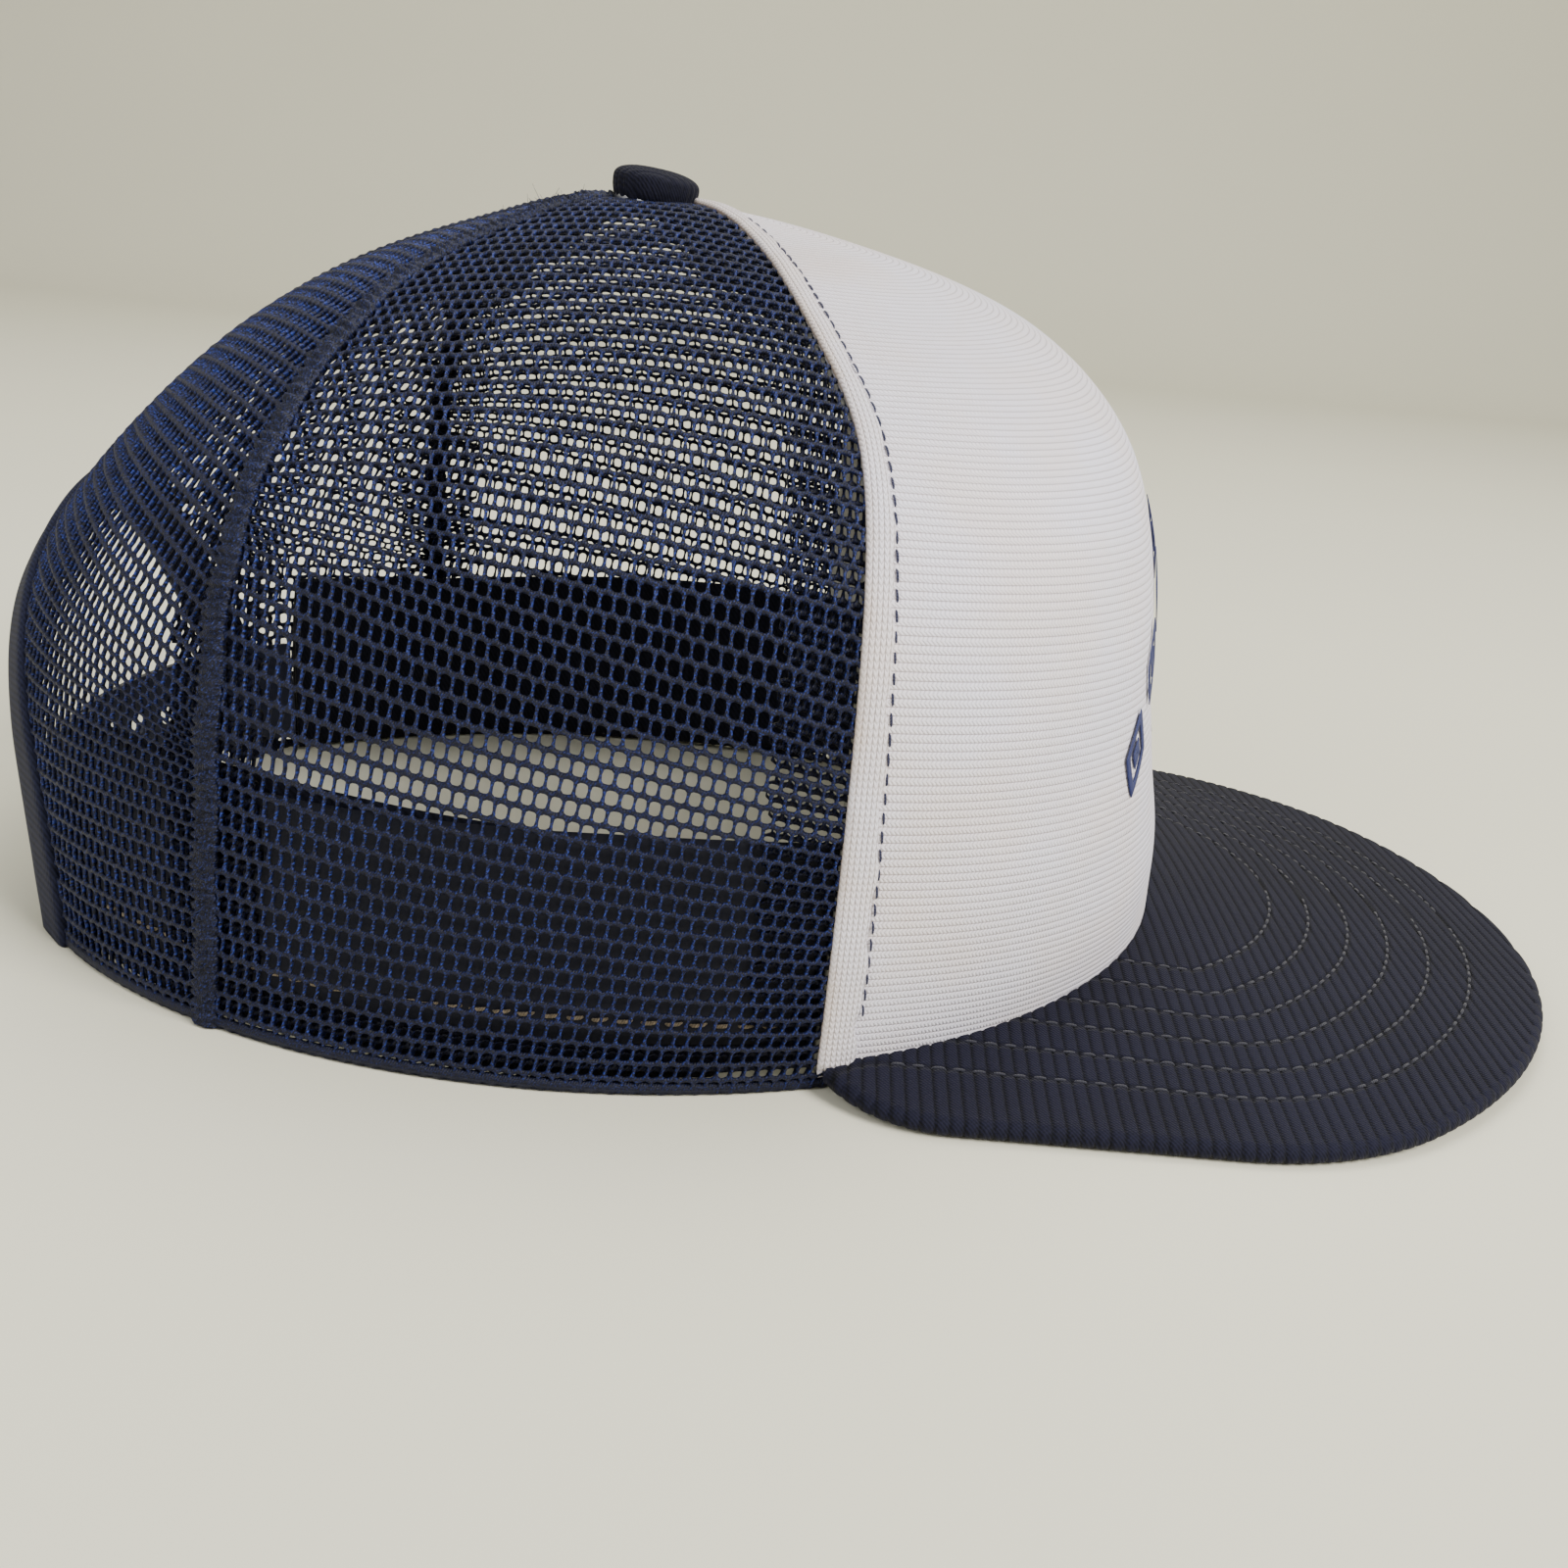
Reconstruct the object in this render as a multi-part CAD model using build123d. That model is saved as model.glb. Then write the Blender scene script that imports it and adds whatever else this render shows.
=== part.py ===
"""Trucker cap with a fabric front panel, four mesh panels, a curved visor and a snap closure.

Frame: millimetres, +Z up. The origin is the centre of the head opening on the rim plane,
+X points forward to the visor and +Y to the wearer's left. The cap lies on its rim and visor edge.
"""
from build123d import *
import os
from math import asin, cos, pi, sin, sqrt

# ---- overall sizes of the crown ----
rim_front = 99.0          # head-opening centre to the front of the crown
rim_rear = 99.0           # head-opening centre to the back of the crown
rim_half_width = 85.5
crown_height = 118.0      # rim plane to the top of the crown, under the button
widest_forward = 12.0     # how far the widest point moves forward at mid height
front_squareness = 0.7    # added to the section's exponent of 2 at mid height

# ---- layers of the crown, counted inwards from its outer face ----
front_fabric_thickness = 0.8
lining_depth = 3.0        # outer face to the face that the sweatband lies on
mesh_thickness = 1.0
hem_height = 7.0
seam_tape_thickness = 0.8
trim_thickness = 0.7      # strips, ridges and bindings stand this far out
thread_thickness = 0.3
front_seam_allowance = 10.5
rear_seam_allowance = 8.0
back_seam_allowance = 8.0
edge_strip_width = 8.5
rim_stitch_setback = 2.0  # below the top of the hem
topstitch_setback = 1.3
thread_width = 0.6
ridge_half_width = 1.5

# ---- sweatband ----
sweatband_height = 38.0
sweatband_floor_gap = 0.8
sweatband_thickness = 1.4
lining_thickness = 0.8

# ---- rear opening ----
arch_half_width = 45.0
arch_height = 60.0
binding_width = 8.0
binding_inner_depth = 2.0
binding_grip = 1.0        # how far the mesh edge stops short of the binding's outer edge

# ---- visor ----
visor_length = 69.0       # front of the rim to the front edge
visor_overhang = 4.0      # how far each side stands out past the rim's half width
visor_bluntness = 10.5    # the front arc's radius less the visor's half width
temple_overhang = 2.0     # visor past the front seam at the temple
visor_corner_radius = 50.0
visor_tail_length = 18.0  # straight side to the temple, along X
visor_rise = 15.1         # arch height of the visor's underside at the temple line
visor_root = 10.4         # curved sheet behind the temple line, where the crown cuts it
visor_run_out = 7.0       # curved sheet past the front edge, where its arch has died out
visor_skin = 0.6
visor_board_thickness = 1.8
visor_edge_fold = 1.5
stitch_rows = 6
first_row_inset = 12.0
row_spacing = 6.8

# ---- button ----
button_x = 2.0
button_radius = 7.0
button_height = 6.0
button_cloth = 0.7
rivet_radius = 1.8
washer_radius = 6.5
washer_thickness = 0.8
ridge_stop = 2.0          # seam ridges stop this far outside the button

# ---- snap closure ----
strap_width = 20.0
strap_tip_width = 15.0
strap_bottom = 4.0
strap_thickness = 1.0
strap_gap = 0.3
hinge_inset = 9.0         # living hinge inside the rear opening's edge
hinge_slit = 0.8
tab_overlap = 7.0         # sewn tab past the rear opening's edge
tab_clearance = 2.0       # tab to the end of the sweatband
snap_pitch = 8.0
tip_margin = 5.5          # last snap to the strap's tip
post_radius = 1.6
post_clearance = 0.7      # radial, in the hole
post_protrusion = 0.5
snap_root_margin = 5.0    # at least this much strap between the last snap and the hinge
tab_seam_insets = (3.0, 7.0)
tab_seam_margin = 2.0     # seam ends to the tab's long edges

# ---- front emblem ----
emblem_half_width = 34.0
emblem_half_height = 21.0
emblem_centre_height = 61.0
emblem_thickness = 0.3

far = 260.0               # past everything
tall = crown_height + 60.0
below = -25.0
visor_thickness = 2 * visor_skin + visor_board_thickness
closure_reach = snap_pitch / 2 + tip_margin  # each strap's tip passes the middle plane by this
temple_x = 0.408 * rim_front
seam_half_width = rim_half_width * sqrt(1 - (temple_x / rim_front) ** 2)
visor_tip = rim_front + visor_length
visor_half_width = rim_half_width + visor_overhang
visor_front_radius = visor_half_width + visor_bluntness
hinge_half_span = arch_half_width - hinge_inset
tab_end = arch_half_width + tab_overlap
snap_count = int((hinge_half_span - hinge_slit / 2 - snap_root_margin) / snap_pitch + 1.5)

# Crown stations: share of height, front reach, rear reach, half width.
crown_stations = [
    (0.00, 1.000, 1.000, 1.000),
    (0.20, 0.982, 1.028, 1.000),
    (0.42, 0.925, 1.000, 0.995),
    (0.64, 0.890, 0.830, 0.925),
    (0.81, 0.790, 0.620, 0.700),
    (0.91, 0.610, 0.415, 0.450),
    (0.97, 0.370, 0.225, 0.240),
    (1.00, 0.170, 0.100, 0.110),
]

# Seam lines in plan, as shares of front (or rear) reach and of half width.
front_seam_shares = [
    (0.08, 0.00), (0.19, 0.21), (0.255, 0.39), (0.32, 0.585), (0.375, 0.74), (0.403, 0.93), (0.42, 1.25),
]
rear_seam_shares = [
    (-0.04, 0.00), (-0.19, 0.175), (-0.30, 0.33), (-0.385, 0.53), (-0.445, 0.70), (-0.485, 0.85), (-0.53, 1.25),
]


def rear_share(height):
    """Rear reach as a share of rim_rear, straight between two stations."""
    level = height / crown_height
    for low, high in zip(crown_stations, crown_stations[1:]):
        if level <= high[0]:
            mix = (level - low[0]) / (high[0] - low[0])
            return low[2] + mix * (high[2] - low[2])
    return crown_stations[-1][2]


def crown_section(station, inset, count=14):
    """One level of the crown: a superellipse in front of the widest point and an ellipse behind it."""
    level, front, rear, width = station
    power = 2 + front_squareness * sin(pi * level)
    widest = widest_forward * sin(pi * level / 1.2)
    scale_front = (rim_front - inset) / rim_front
    scale_rear = (rim_rear - inset) / rim_rear
    half_width = width * (rim_half_width - inset)
    points = []
    for step in range(count):
        angle = 2 * pi * step / count
        c, s = cos(angle), sin(angle)
        if c > 0:
            x = widest + (front * rim_front - widest) * abs(c) ** (2 / power)
            y = half_width * abs(s) ** (2 / power)
            x *= scale_front
        else:
            x = widest + (rear * rim_rear + widest) * c
            y = half_width * abs(s)
            x *= scale_rear
        points.append((x, y if s > 0 else -y, level * (crown_height - inset)))
    steps = [step / count for step in range(count + 1)]
    return make_face(Edge.make_spline(points, periodic=True, parameters=steps))


def crown_solid(inset):
    """The crown as a filled dome whose outer face lies the inset below the cap's outer face."""
    return loft([crown_section(station, inset) for station in crown_stations])


domes = {}


def dome(inset):
    key = round(inset, 3)
    if key not in domes:
        domes[key] = crown_solid(inset)
    return domes[key]


def layer(outer, inner):
    """The crown's skin between two depths."""
    return dome(outer) - dome(inner)


def prism(face):
    return extrude(Pos(0, 0, below) * face, amount=tall - 2 * below)


def block(x, y, z):
    """A box from three (low, high) pairs."""
    size = [high - low for low, high in (x, y, z)]
    return Pos(x[0], y[0], z[0]) * Box(*size, align=(Align.MIN, Align.MIN, Align.MIN))


def seam_points(shares, shift=0.0, side=1):
    reach = rim_front if shares[-1][0] > 0 else rim_rear
    return [(x * reach + shift, side * y * rim_half_width) for x, y in shares]


def ahead_of(shares, shift=0.0):
    """Everything in front of a pair of mirrored seam lines, moved along X by the shift."""
    left = seam_points(shares, shift, 1)
    right = seam_points(shares, shift, -1)
    outline = Spline(*left) + Spline(*right)
    outline += Polyline(left[-1], (far, left[-1][1]), (far, right[-1][1]), right[-1])
    return prism(make_face(outline))


left_half = block((-far, far), (0, far), (below, tall))
right_half = block((-far, far), (-far, 0), (below, tall))
halves = {"right": right_half, "left": left_half}


def arch_prism(grow):
    """The rear opening, a half ellipse seen from behind, made larger all round by grow."""
    profile = Plane.YZ * Ellipse(arch_half_width + grow, arch_height + grow)
    return extrude(Pos(-far, 0, 0) * profile, amount=far - 10)


def visor_slab(low, high):
    """The visor's curved sheet between two heights above its underside, wider than the visor."""
    edge = visor_half_width + temple_overhang
    start, end = temple_x - visor_root, visor_tip + visor_run_out

    def section(x, rise):
        arch = [(y, rise * max(0.0, 1 - (y / edge) ** 2) ** 1.5)
                for y in [edge * step / 5 for step in range(-5, 6)]]
        below = Spline(*[(x, y, z + low) for y, z in arch])
        above = Spline(*[(x, y, z + high) for y, z in arch])
        ends = [Line((x, y, low), (x, y, high)) for y in (-edge, edge)]
        return make_face(below + above + ends[0] + ends[1])

    return loft([section(start, visor_rise), section(end, 0.02 * visor_rise)], ruled=True)


def visor_outline(inset=0.0, tails=True):
    """Plan of the visor: a front arc, two corner arcs, straight sides and tails at the temples."""
    front_centre = visor_tip - visor_front_radius
    front_radius = visor_front_radius - inset
    corner_radius = visor_corner_radius - inset
    side = visor_half_width - inset
    corner_y = visor_half_width - visor_corner_radius
    reach = visor_front_radius - visor_corner_radius
    corner_x = front_centre + sqrt(reach ** 2 - corner_y ** 2)
    turn = asin(corner_y / reach)
    join = (front_centre + front_radius * cos(turn), front_radius * sin(turn))
    half_turn = (pi / 2 - turn) / 2
    middle = (corner_x + corner_radius * sin(half_turn), corner_y + corner_radius * cos(half_turn))
    tail_start = temple_x + visor_tail_length
    tail_y = seam_half_width + temple_overhang
    drop = visor_half_width - tail_y
    tail_radius = (visor_tail_length ** 2 + drop ** 2) / (2 * drop)
    swing = asin(visor_tail_length / tail_radius)
    tail_inner = tail_radius - inset
    centre = (tail_start, visor_half_width - tail_radius)

    def mirrored(points):
        return [(x, -y) for x, y in points]

    corner = [join, middle, (corner_x, side)]
    tail = [(centre[0] - tail_inner * sin(a), centre[1] + tail_inner * cos(a)) for a in (0, swing / 2, swing)]
    lines = ThreePointArc((join[0], -join[1]), (front_centre + front_radius, 0), join)
    lines += ThreePointArc(*corner) + ThreePointArc(*mirrored(corner))
    if not tails:
        ends = [(temple_x - visor_tail_length, side), (temple_x - visor_tail_length, -side)]
        return make_face(lines + Polyline(corner[2], *ends, mirrored(corner[2:])[0]))
    lines += Line(corner[2], tail[0]) + Line(*mirrored([corner[2], tail[0]]))
    lines += ThreePointArc(*tail) + ThreePointArc(*mirrored(tail))
    lines += Line(tail[2], (tail[2][0], -tail[2][1]))
    return make_face(lines)


def save(name, shape):
    """Write one sub-part; several loose solids become one compound."""
    solids = shape.solids() if hasattr(shape, "solids") else shape
    result = solids[0] if len(solids) == 1 else Compound(children=[Solid(s.wrapped) for s in solids])
    result.label = name
    export_step(result, f"parts/{name}.step")



def crown_nodes():
    """Front panel, mesh panels and everything sewn along their edges."""
    shank = Pos(button_x, 0, 0) * Cylinder(rivet_radius, 2 * tall)
    washer_hole = Pos(button_x, 0, 0) * Cylinder(washer_radius, 2 * tall)
    under_visor = visor_slab(below, 0)
    beside_visor = visor_slab(below, visor_thickness)
    front = ahead_of(front_seam_shares)
    rear_of_seam = ahead_of(rear_seam_shares)
    mesh_opening = arch_prism(binding_grip)
    bound_opening = arch_prism(binding_width)
    above_hem = block((-far, far), (-far, far), (hem_height, tall))

    save("front_panel", (layer(0, front_fabric_thickness) & front) - under_visor - shank)
    backing = (layer(front_fabric_thickness, lining_depth) & front) - under_visor - washer_hole
    save("front_backing", backing)

    mesh = layer(0, mesh_thickness) - shank
    side_mesh = (mesh - front) & rear_of_seam
    rear_mesh = mesh - rear_of_seam - mesh_opening
    tape = layer(mesh_thickness, mesh_thickness + seam_tape_thickness) - washer_hole
    tape = tape & above_hem
    front_tape = (tape & ahead_of(front_seam_shares, -front_seam_allowance)) - front
    beside_rear_seam = ahead_of(rear_seam_shares, -rear_seam_allowance)
    beside_rear_seam -= ahead_of(rear_seam_shares, rear_seam_allowance)
    rear_tape = (tape & beside_rear_seam) - ahead_of(front_seam_shares, -front_seam_allowance)
    rear_tape -= bound_opening
    trim = layer(-trim_thickness, 0)
    strip = (trim & front) - ahead_of(front_seam_shares, edge_strip_width) - beside_visor
    strip -= Pos(button_x, 0, 0) * Cylinder(button_radius, 2 * tall)
    ridge_band = ahead_of(rear_seam_shares, -ridge_half_width) - ahead_of(rear_seam_shares, ridge_half_width)
    ridge = (trim & ridge_band) - Pos(button_x, 0, 0) * Cylinder(button_radius + ridge_stop, 2 * tall)
    for side, half in halves.items():
        save(f"side_mesh_{side}", side_mesh & half)
        save(f"rear_mesh_{side}", rear_mesh & half)
        save(f"front_seam_tape_{side}", front_tape & half)
        save(f"rear_seam_tape_{side}", rear_tape & half)
        save(f"front_edge_strip_{side}", strip & half)
        save(f"rear_seam_ridge_{side}", ridge & half)

    back_band = block((-far, 0), (-back_seam_allowance, back_seam_allowance), (below, tall))
    back_tape = (tape & back_band) - ahead_of(rear_seam_shares, -rear_seam_allowance) - bound_opening
    save("back_seam_tape", back_tape)

    stitch_line = layer(-trim_thickness - thread_thickness, -trim_thickness)
    thread_start = edge_strip_width - topstitch_setback
    stitch_line &= ahead_of(front_seam_shares, thread_start - thread_width)
    stitch_line -= ahead_of(front_seam_shares, thread_start)
    stitch_line -= beside_visor
    stitch_line -= Pos(button_x, 0, 0) * Cylinder(button_radius, 2 * tall)
    save("front_topstitching", stitch_line)

    emblem = Plane.YZ * Ellipse(emblem_half_width, emblem_half_height)
    emblem = extrude(Pos(temple_x, 0, emblem_centre_height) * emblem, amount=far)
    save("front_emblem", layer(-emblem_thickness, 0) & emblem)

    hem = layer(mesh_thickness, lining_depth) - front - bound_opening
    hem &= block((-far, far), (-far, far), (below, hem_height))
    save("rim_hem", hem)

    binding = (layer(-trim_thickness, binding_inner_depth) & bound_opening) - arch_prism(0)
    save("arch_binding", binding - rear_mesh)
    return shank, under_visor, front, bound_opening, ridge_band


def sweatband_nodes(under_visor, front, bound_opening, ridge_band):
    """The band against the forehead, its lining and the stitching along the rim."""
    inner = lining_depth + sweatband_thickness
    band = block((-far, far), (-far, far), (sweatband_floor_gap, sweatband_height))
    gap_half_width = tab_end + tab_clearance
    rear_gap = block((-far, 0), (-gap_half_width, gap_half_width), (below, tall))
    sweatband = (layer(lining_depth, inner) & band) - under_visor - rear_gap
    save("sweatband", sweatband)
    lining = layer(lining_depth - lining_thickness, lining_depth) - front - bound_opening - rear_gap
    save("sweatband_lining", lining & block((-far, far), (-far, far), (hem_height, sweatband_height)))
    thread_height = hem_height - rim_stitch_setback
    thread = block((-far, far), (-far, far), (thread_height, thread_height + thread_width))
    save("rim_stitching", (layer(-thread_thickness, 0) & thread) - front - bound_opening - ridge_band)


def visor_nodes():
    """Cloth above and below a board, with rows of stitching along the outer edge."""
    crown = dome(0)
    outline = prism(visor_outline())
    board_outline = prism(visor_outline(visor_edge_fold))
    board_top = visor_skin + visor_board_thickness
    save("visor_underside", (visor_slab(0, visor_skin) & outline) - crown)
    board = (visor_slab(visor_skin, board_top) & board_outline) - crown
    save("visor_board", board)
    cover = (visor_slab(visor_skin, visor_thickness) & outline) - crown
    save("visor_cover", cover - visor_slab(visor_skin, board_top) + cover_edge(board_top, crown))
    thread_skin = visor_slab(visor_thickness, visor_thickness + thread_thickness) - dome(-trim_thickness - 1)
    front_of_temple = block((temple_x + row_spacing, far), (-far, far), (below, tall))
    rows = []
    for row in range(stitch_rows):
        inset = first_row_inset + row * row_spacing
        band = prism(visor_outline(inset, tails=False))
        band -= prism(visor_outline(inset + thread_width, tails=False))
        rows += ((thread_skin & band) & front_of_temple).solids()
    save("visor_stitching", rows)


def cover_edge(board_top, crown):
    """The cover's folded edge, around the board and down to the underside."""
    rim = prism(visor_outline()) - prism(visor_outline(visor_edge_fold))
    return (visor_slab(visor_skin, board_top) & rim) - crown


def button_nodes(shank):
    """A cloth-covered button held by a rivet through the crown and a washer inside it."""
    def cap(radius, height):
        bulge = Sphere(1) & block((-1, 1), (-1, 1), (0, 1))
        return Pos(button_x, 0, crown_height) * scale(bulge, by=(radius, radius, height))

    core = cap(button_radius - button_cloth, button_height - button_cloth)
    save("button_cover", cap(button_radius, button_height) - core)
    rivet = shank & block((-far, far), (-far, far), (crown_height - mesh_thickness - 1, crown_height))
    washer_top = crown_height - mesh_thickness
    washer = Cylinder(washer_radius, washer_thickness, align=(Align.CENTER, Align.CENTER, Align.MAX))
    washer = Pos(button_x, 0, washer_top) * washer
    save("button_core", core)
    save("button_rivet", rivet - washer)
    save("button_washer", washer)


def strap_circle():
    """Plan circle that follows the inside of the cap's back at the height of the straps."""
    height = strap_bottom + strap_width / 2
    reach = rear_share(height) * (rim_rear - lining_depth)
    radius = (rim_half_width - lining_depth) ** 2 / reach
    return radius - reach, radius


def strap_blank(outer_radius, side):
    """A strap from its living hinge to its rounded tip; side is the wearer's left (+1) or right (-1)."""
    centre_x, _ = strap_circle()
    middle_z = strap_bottom + strap_width / 2
    ring = Cylinder(outer_radius, tall) - Cylinder(outer_radius - strap_thickness, tall)
    ring = Pos(centre_x, 0, 0) * ring & block((-far, centre_x), (-far, far), (-tall, tall))
    root = hinge_half_span - hinge_slit / 2
    tip_radius = strap_tip_width / 2
    tip_centre = -closure_reach + tip_radius
    outline = Polyline((root, -strap_width / 2), (root, strap_width / 2), (tip_centre, tip_radius))
    outline += ThreePointArc((tip_centre, tip_radius), (-closure_reach, 0), (tip_centre, -tip_radius))
    outline += Line((tip_centre, -tip_radius), (root, -strap_width / 2))
    profile = Plane.YZ * make_face(outline)
    if side < 0:
        profile = mirror(profile, about=Plane.XZ)
    return ring & extrude(Pos(-far, 0, middle_z) * profile, amount=far)


def closure_nodes(bound_opening):
    """Two straps that snap together across the rear opening, each with a tab sewn inside the rim."""
    centre_x, radius = strap_circle()
    middle_z = strap_bottom + strap_width / 2
    outer = strap_blank(radius, 1)
    inner_radius = radius - strap_thickness - strap_gap
    inner = strap_blank(inner_radius, -1)
    first_post = snap_pitch / 2

    def stud(y, stud_radius, low, high):
        """A short bar along X, between two distances outside the inner strap's face at that place."""
        face_x = centre_x - sqrt(inner_radius ** 2 - y ** 2)
        bar = Cylinder(stud_radius, high - low, rotation=(0, 90, 0))
        return Pos(face_x - (low + high) / 2, y, middle_z) * bar

    reach = strap_gap + strap_thickness + post_protrusion
    for step in range(snap_count):
        inner += stud(first_post - step * snap_pitch, post_radius, -strap_thickness / 2, reach)
        outer -= stud(step * snap_pitch - first_post, post_radius + post_clearance, 0, 2 * reach)
    save("hole_strap", outer)
    save("post_strap", inner)

    tab_skin = layer(lining_depth, lining_depth + strap_thickness)
    stitch_skin = layer(lining_depth + strap_thickness, lining_depth + strap_thickness + thread_thickness)
    stitches = []
    root = hinge_half_span + hinge_slit / 2
    for name, side in (("hole_strap_tab", 1), ("post_strap_tab", -1)):
        span = sorted((side * root, side * tab_end))
        save(name, tab_skin & block((-far, 0), span, (strap_bottom, strap_bottom + strap_width)))
        for inset in tab_seam_insets:
            line = tab_end - inset
            ends = sorted((side * line, side * (line - thread_width)))
            rise = (strap_bottom + tab_seam_margin, strap_bottom + strap_width - tab_seam_margin)
            bar = block((-far, 0), ends, rise)
            stitches += (stitch_skin & bar).solids()
    save("strap_stitching", stitches)


os.makedirs("parts", exist_ok=True)
crown_shank, visor_clearance, front_region, opening_region, ridge_region = crown_nodes()
sweatband_nodes(visor_clearance, front_region, opening_region, ridge_region)
visor_nodes()
button_nodes(crown_shank)
closure_nodes(opening_region)
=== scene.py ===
import math

import bpy
import numpy as np
from mathutils import Matrix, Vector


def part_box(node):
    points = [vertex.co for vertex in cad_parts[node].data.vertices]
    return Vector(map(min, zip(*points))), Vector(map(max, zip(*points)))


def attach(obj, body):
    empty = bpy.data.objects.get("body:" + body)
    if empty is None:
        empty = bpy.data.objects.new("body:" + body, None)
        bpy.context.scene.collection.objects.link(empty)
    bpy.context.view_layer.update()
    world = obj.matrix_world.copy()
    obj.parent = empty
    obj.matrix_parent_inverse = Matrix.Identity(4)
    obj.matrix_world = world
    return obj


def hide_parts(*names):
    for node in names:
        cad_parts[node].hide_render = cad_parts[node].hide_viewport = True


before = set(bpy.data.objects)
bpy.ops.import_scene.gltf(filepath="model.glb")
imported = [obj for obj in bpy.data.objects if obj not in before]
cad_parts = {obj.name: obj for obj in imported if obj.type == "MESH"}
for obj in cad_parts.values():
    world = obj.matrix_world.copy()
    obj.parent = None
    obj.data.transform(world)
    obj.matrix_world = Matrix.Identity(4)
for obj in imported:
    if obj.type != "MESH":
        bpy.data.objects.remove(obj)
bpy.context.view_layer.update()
mm = 0.001
print("frame loaded:", len(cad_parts), "nodes")

# The crown: each station is a level as a share of its height, then its front reach, rear reach and
# half width as shares of the rim's.
crown = dict(rimFront=99 * mm, rimRear=99 * mm, rimHalfWidth=85.5 * mm,
             height=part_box("front_panel")[1].z, widestForward=12 * mm, squareness=0.7,
             apex=(3.5 * mm, 0.7 * mm),
             stations=((0.00, 1.000, 1.000, 1.000), (0.20, 0.982, 1.028, 1.000),
                       (0.42, 0.925, 1.000, 0.995), (0.64, 0.890, 0.830, 0.925),
                       (0.81, 0.790, 0.620, 0.700), (0.91, 0.610, 0.415, 0.450),
                       (0.97, 0.370, 0.225, 0.240), (1.00, 0.170, 0.100, 0.110)))
# Seam lines seen from above, as shares of the rim's reach and half width, from the button down.
seams = dict(front=((0.08, 0.00), (0.19, 0.21), (0.255, 0.39), (0.32, 0.585), (0.375, 0.74),
                    (0.403, 0.93), (0.42, 1.25)),
             rear=((-0.04, 0.00), (-0.19, 0.175), (-0.30, 0.33), (-0.385, 0.53), (-0.445, 0.70),
                   (-0.485, 0.85), (-0.53, 1.25)))
arch = dict(halfWidth=45 * mm, height=60 * mm)
visor = dict(tip=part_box("visor_cover")[1].x, halfWidth=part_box("visor_cover")[1].y,
             frontRadius=100 * mm, cornerRadius=50 * mm, tail=18 * mm, rise=15.1 * mm,
             start=30 * mm, thickness=3 * mm, edgeRadius=1.5 * mm)


def smoothCurve(knots, values):
    # natural cubic spline: a piecewise cubic whose slope and bend run on across every knot
    k, v = np.asarray(knots, float), np.asarray(values, float)
    n, h = len(k), np.diff(k)
    matrix, right = np.eye(n), np.zeros(n)
    inner = np.arange(1, n - 1)
    matrix[inner, inner - 1] = h[:-1]
    matrix[inner, inner] = 2 * (h[:-1] + h[1:])
    matrix[inner, inner + 1] = h[1:]
    slope = np.diff(v) / h
    right[inner] = 6 * np.diff(slope)
    bend = np.linalg.solve(matrix, right)

    def at(t):
        i = np.clip(np.searchsorted(k, t) - 1, 0, n - 2)
        d = t - k[i]
        first = slope[i] - h[i] * (2 * bend[i] + bend[i + 1]) / 6
        return v[i] + d * (first + d * (bend[i] / 2 + d * (bend[i + 1] - bend[i]) / (6 * h[i])))
    return at


def crownCurves():
    level, front, rear, width = np.array(crown["stations"]).T
    apexX, apexRise = crown["apex"]
    z = np.append(level * crown["height"], crown["height"] + apexRise)
    fx = np.append(front * crown["rimFront"], apexX)
    rx = np.append(-rear * crown["rimRear"], apexX)
    w = np.append(width * crown["rimHalfWidth"], 0.0)
    wx = np.append(crown["widestForward"] * np.sin(np.pi * level / 1.2), apexX)
    run = np.hypot(np.diff((fx - rx) / 2), np.diff(z))
    s = np.append(0, np.cumsum(run)) / run.sum()
    return [smoothCurve(s, column) for column in (z, fx, rx, w, wx)]


heightAt, frontAt, rearAt, widthAt, widestAt = crownCurves()
sTable = np.linspace(-0.08, 1, 1500)
zTable = heightAt(sTable)


def levelOf(z):
    return np.interp(z, zTable, sTable)


def roundness(z):
    # power of the superellipse at a height: 2 is an ellipse, and more is squarer
    return 2 + crown["squareness"] * np.sin(np.pi * np.clip(z / crown["height"], 0, 1))


def crownPoint(angle, s):
    # a superellipse ahead of the widest point and an ellipse behind it, at the level s
    angle, s = np.broadcast_arrays(np.asarray(angle, float), np.asarray(s, float))
    z, fx, rx, w, wx = heightAt(s), frontAt(s), rearAt(s), widthAt(s), widestAt(s)
    p = 2 / roundness(z)
    c, q = np.cos(angle), np.sin(angle)
    ahead = c > 0
    x = np.where(ahead, wx + (fx - wx) * np.abs(c) ** p, wx + (wx - rx) * c)
    y = w * np.sign(q) * np.where(ahead, np.abs(q) ** p, np.abs(q))
    return np.stack([x, y, z], -1)


def unit(v):
    return v / np.maximum(np.linalg.norm(v, axis=-1, keepdims=True), 1e-12)


def runAlong(line):
    # length walked to each point of a line of points
    return np.append(0, np.cumsum(np.linalg.norm(np.diff(line, axis=0), axis=1)))


def crownFrame(angle, s):
    # point and outward normal, the normal from the cross product of the two tangents
    da, ds = 2e-3, 1e-3
    top = np.minimum(s + ds, 0.999)
    across = crownPoint(angle + da, s) - crownPoint(angle - da, s)
    up = crownPoint(angle, top) - crownPoint(angle, top - 2 * ds)
    return crownPoint(angle, s), unit(np.cross(across, up))


def seamLine(name, shift=0.0):
    # x of the seam for a distance from the middle plane, seen from above
    share = np.array(seams[name])
    reach = crown["rimFront"] if name == "front" else crown["rimRear"]
    line = smoothCurve(share[:, 1] * crown["rimHalfWidth"], share[:, 0] * reach)
    return lambda y: line(np.abs(y)) + shift


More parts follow.
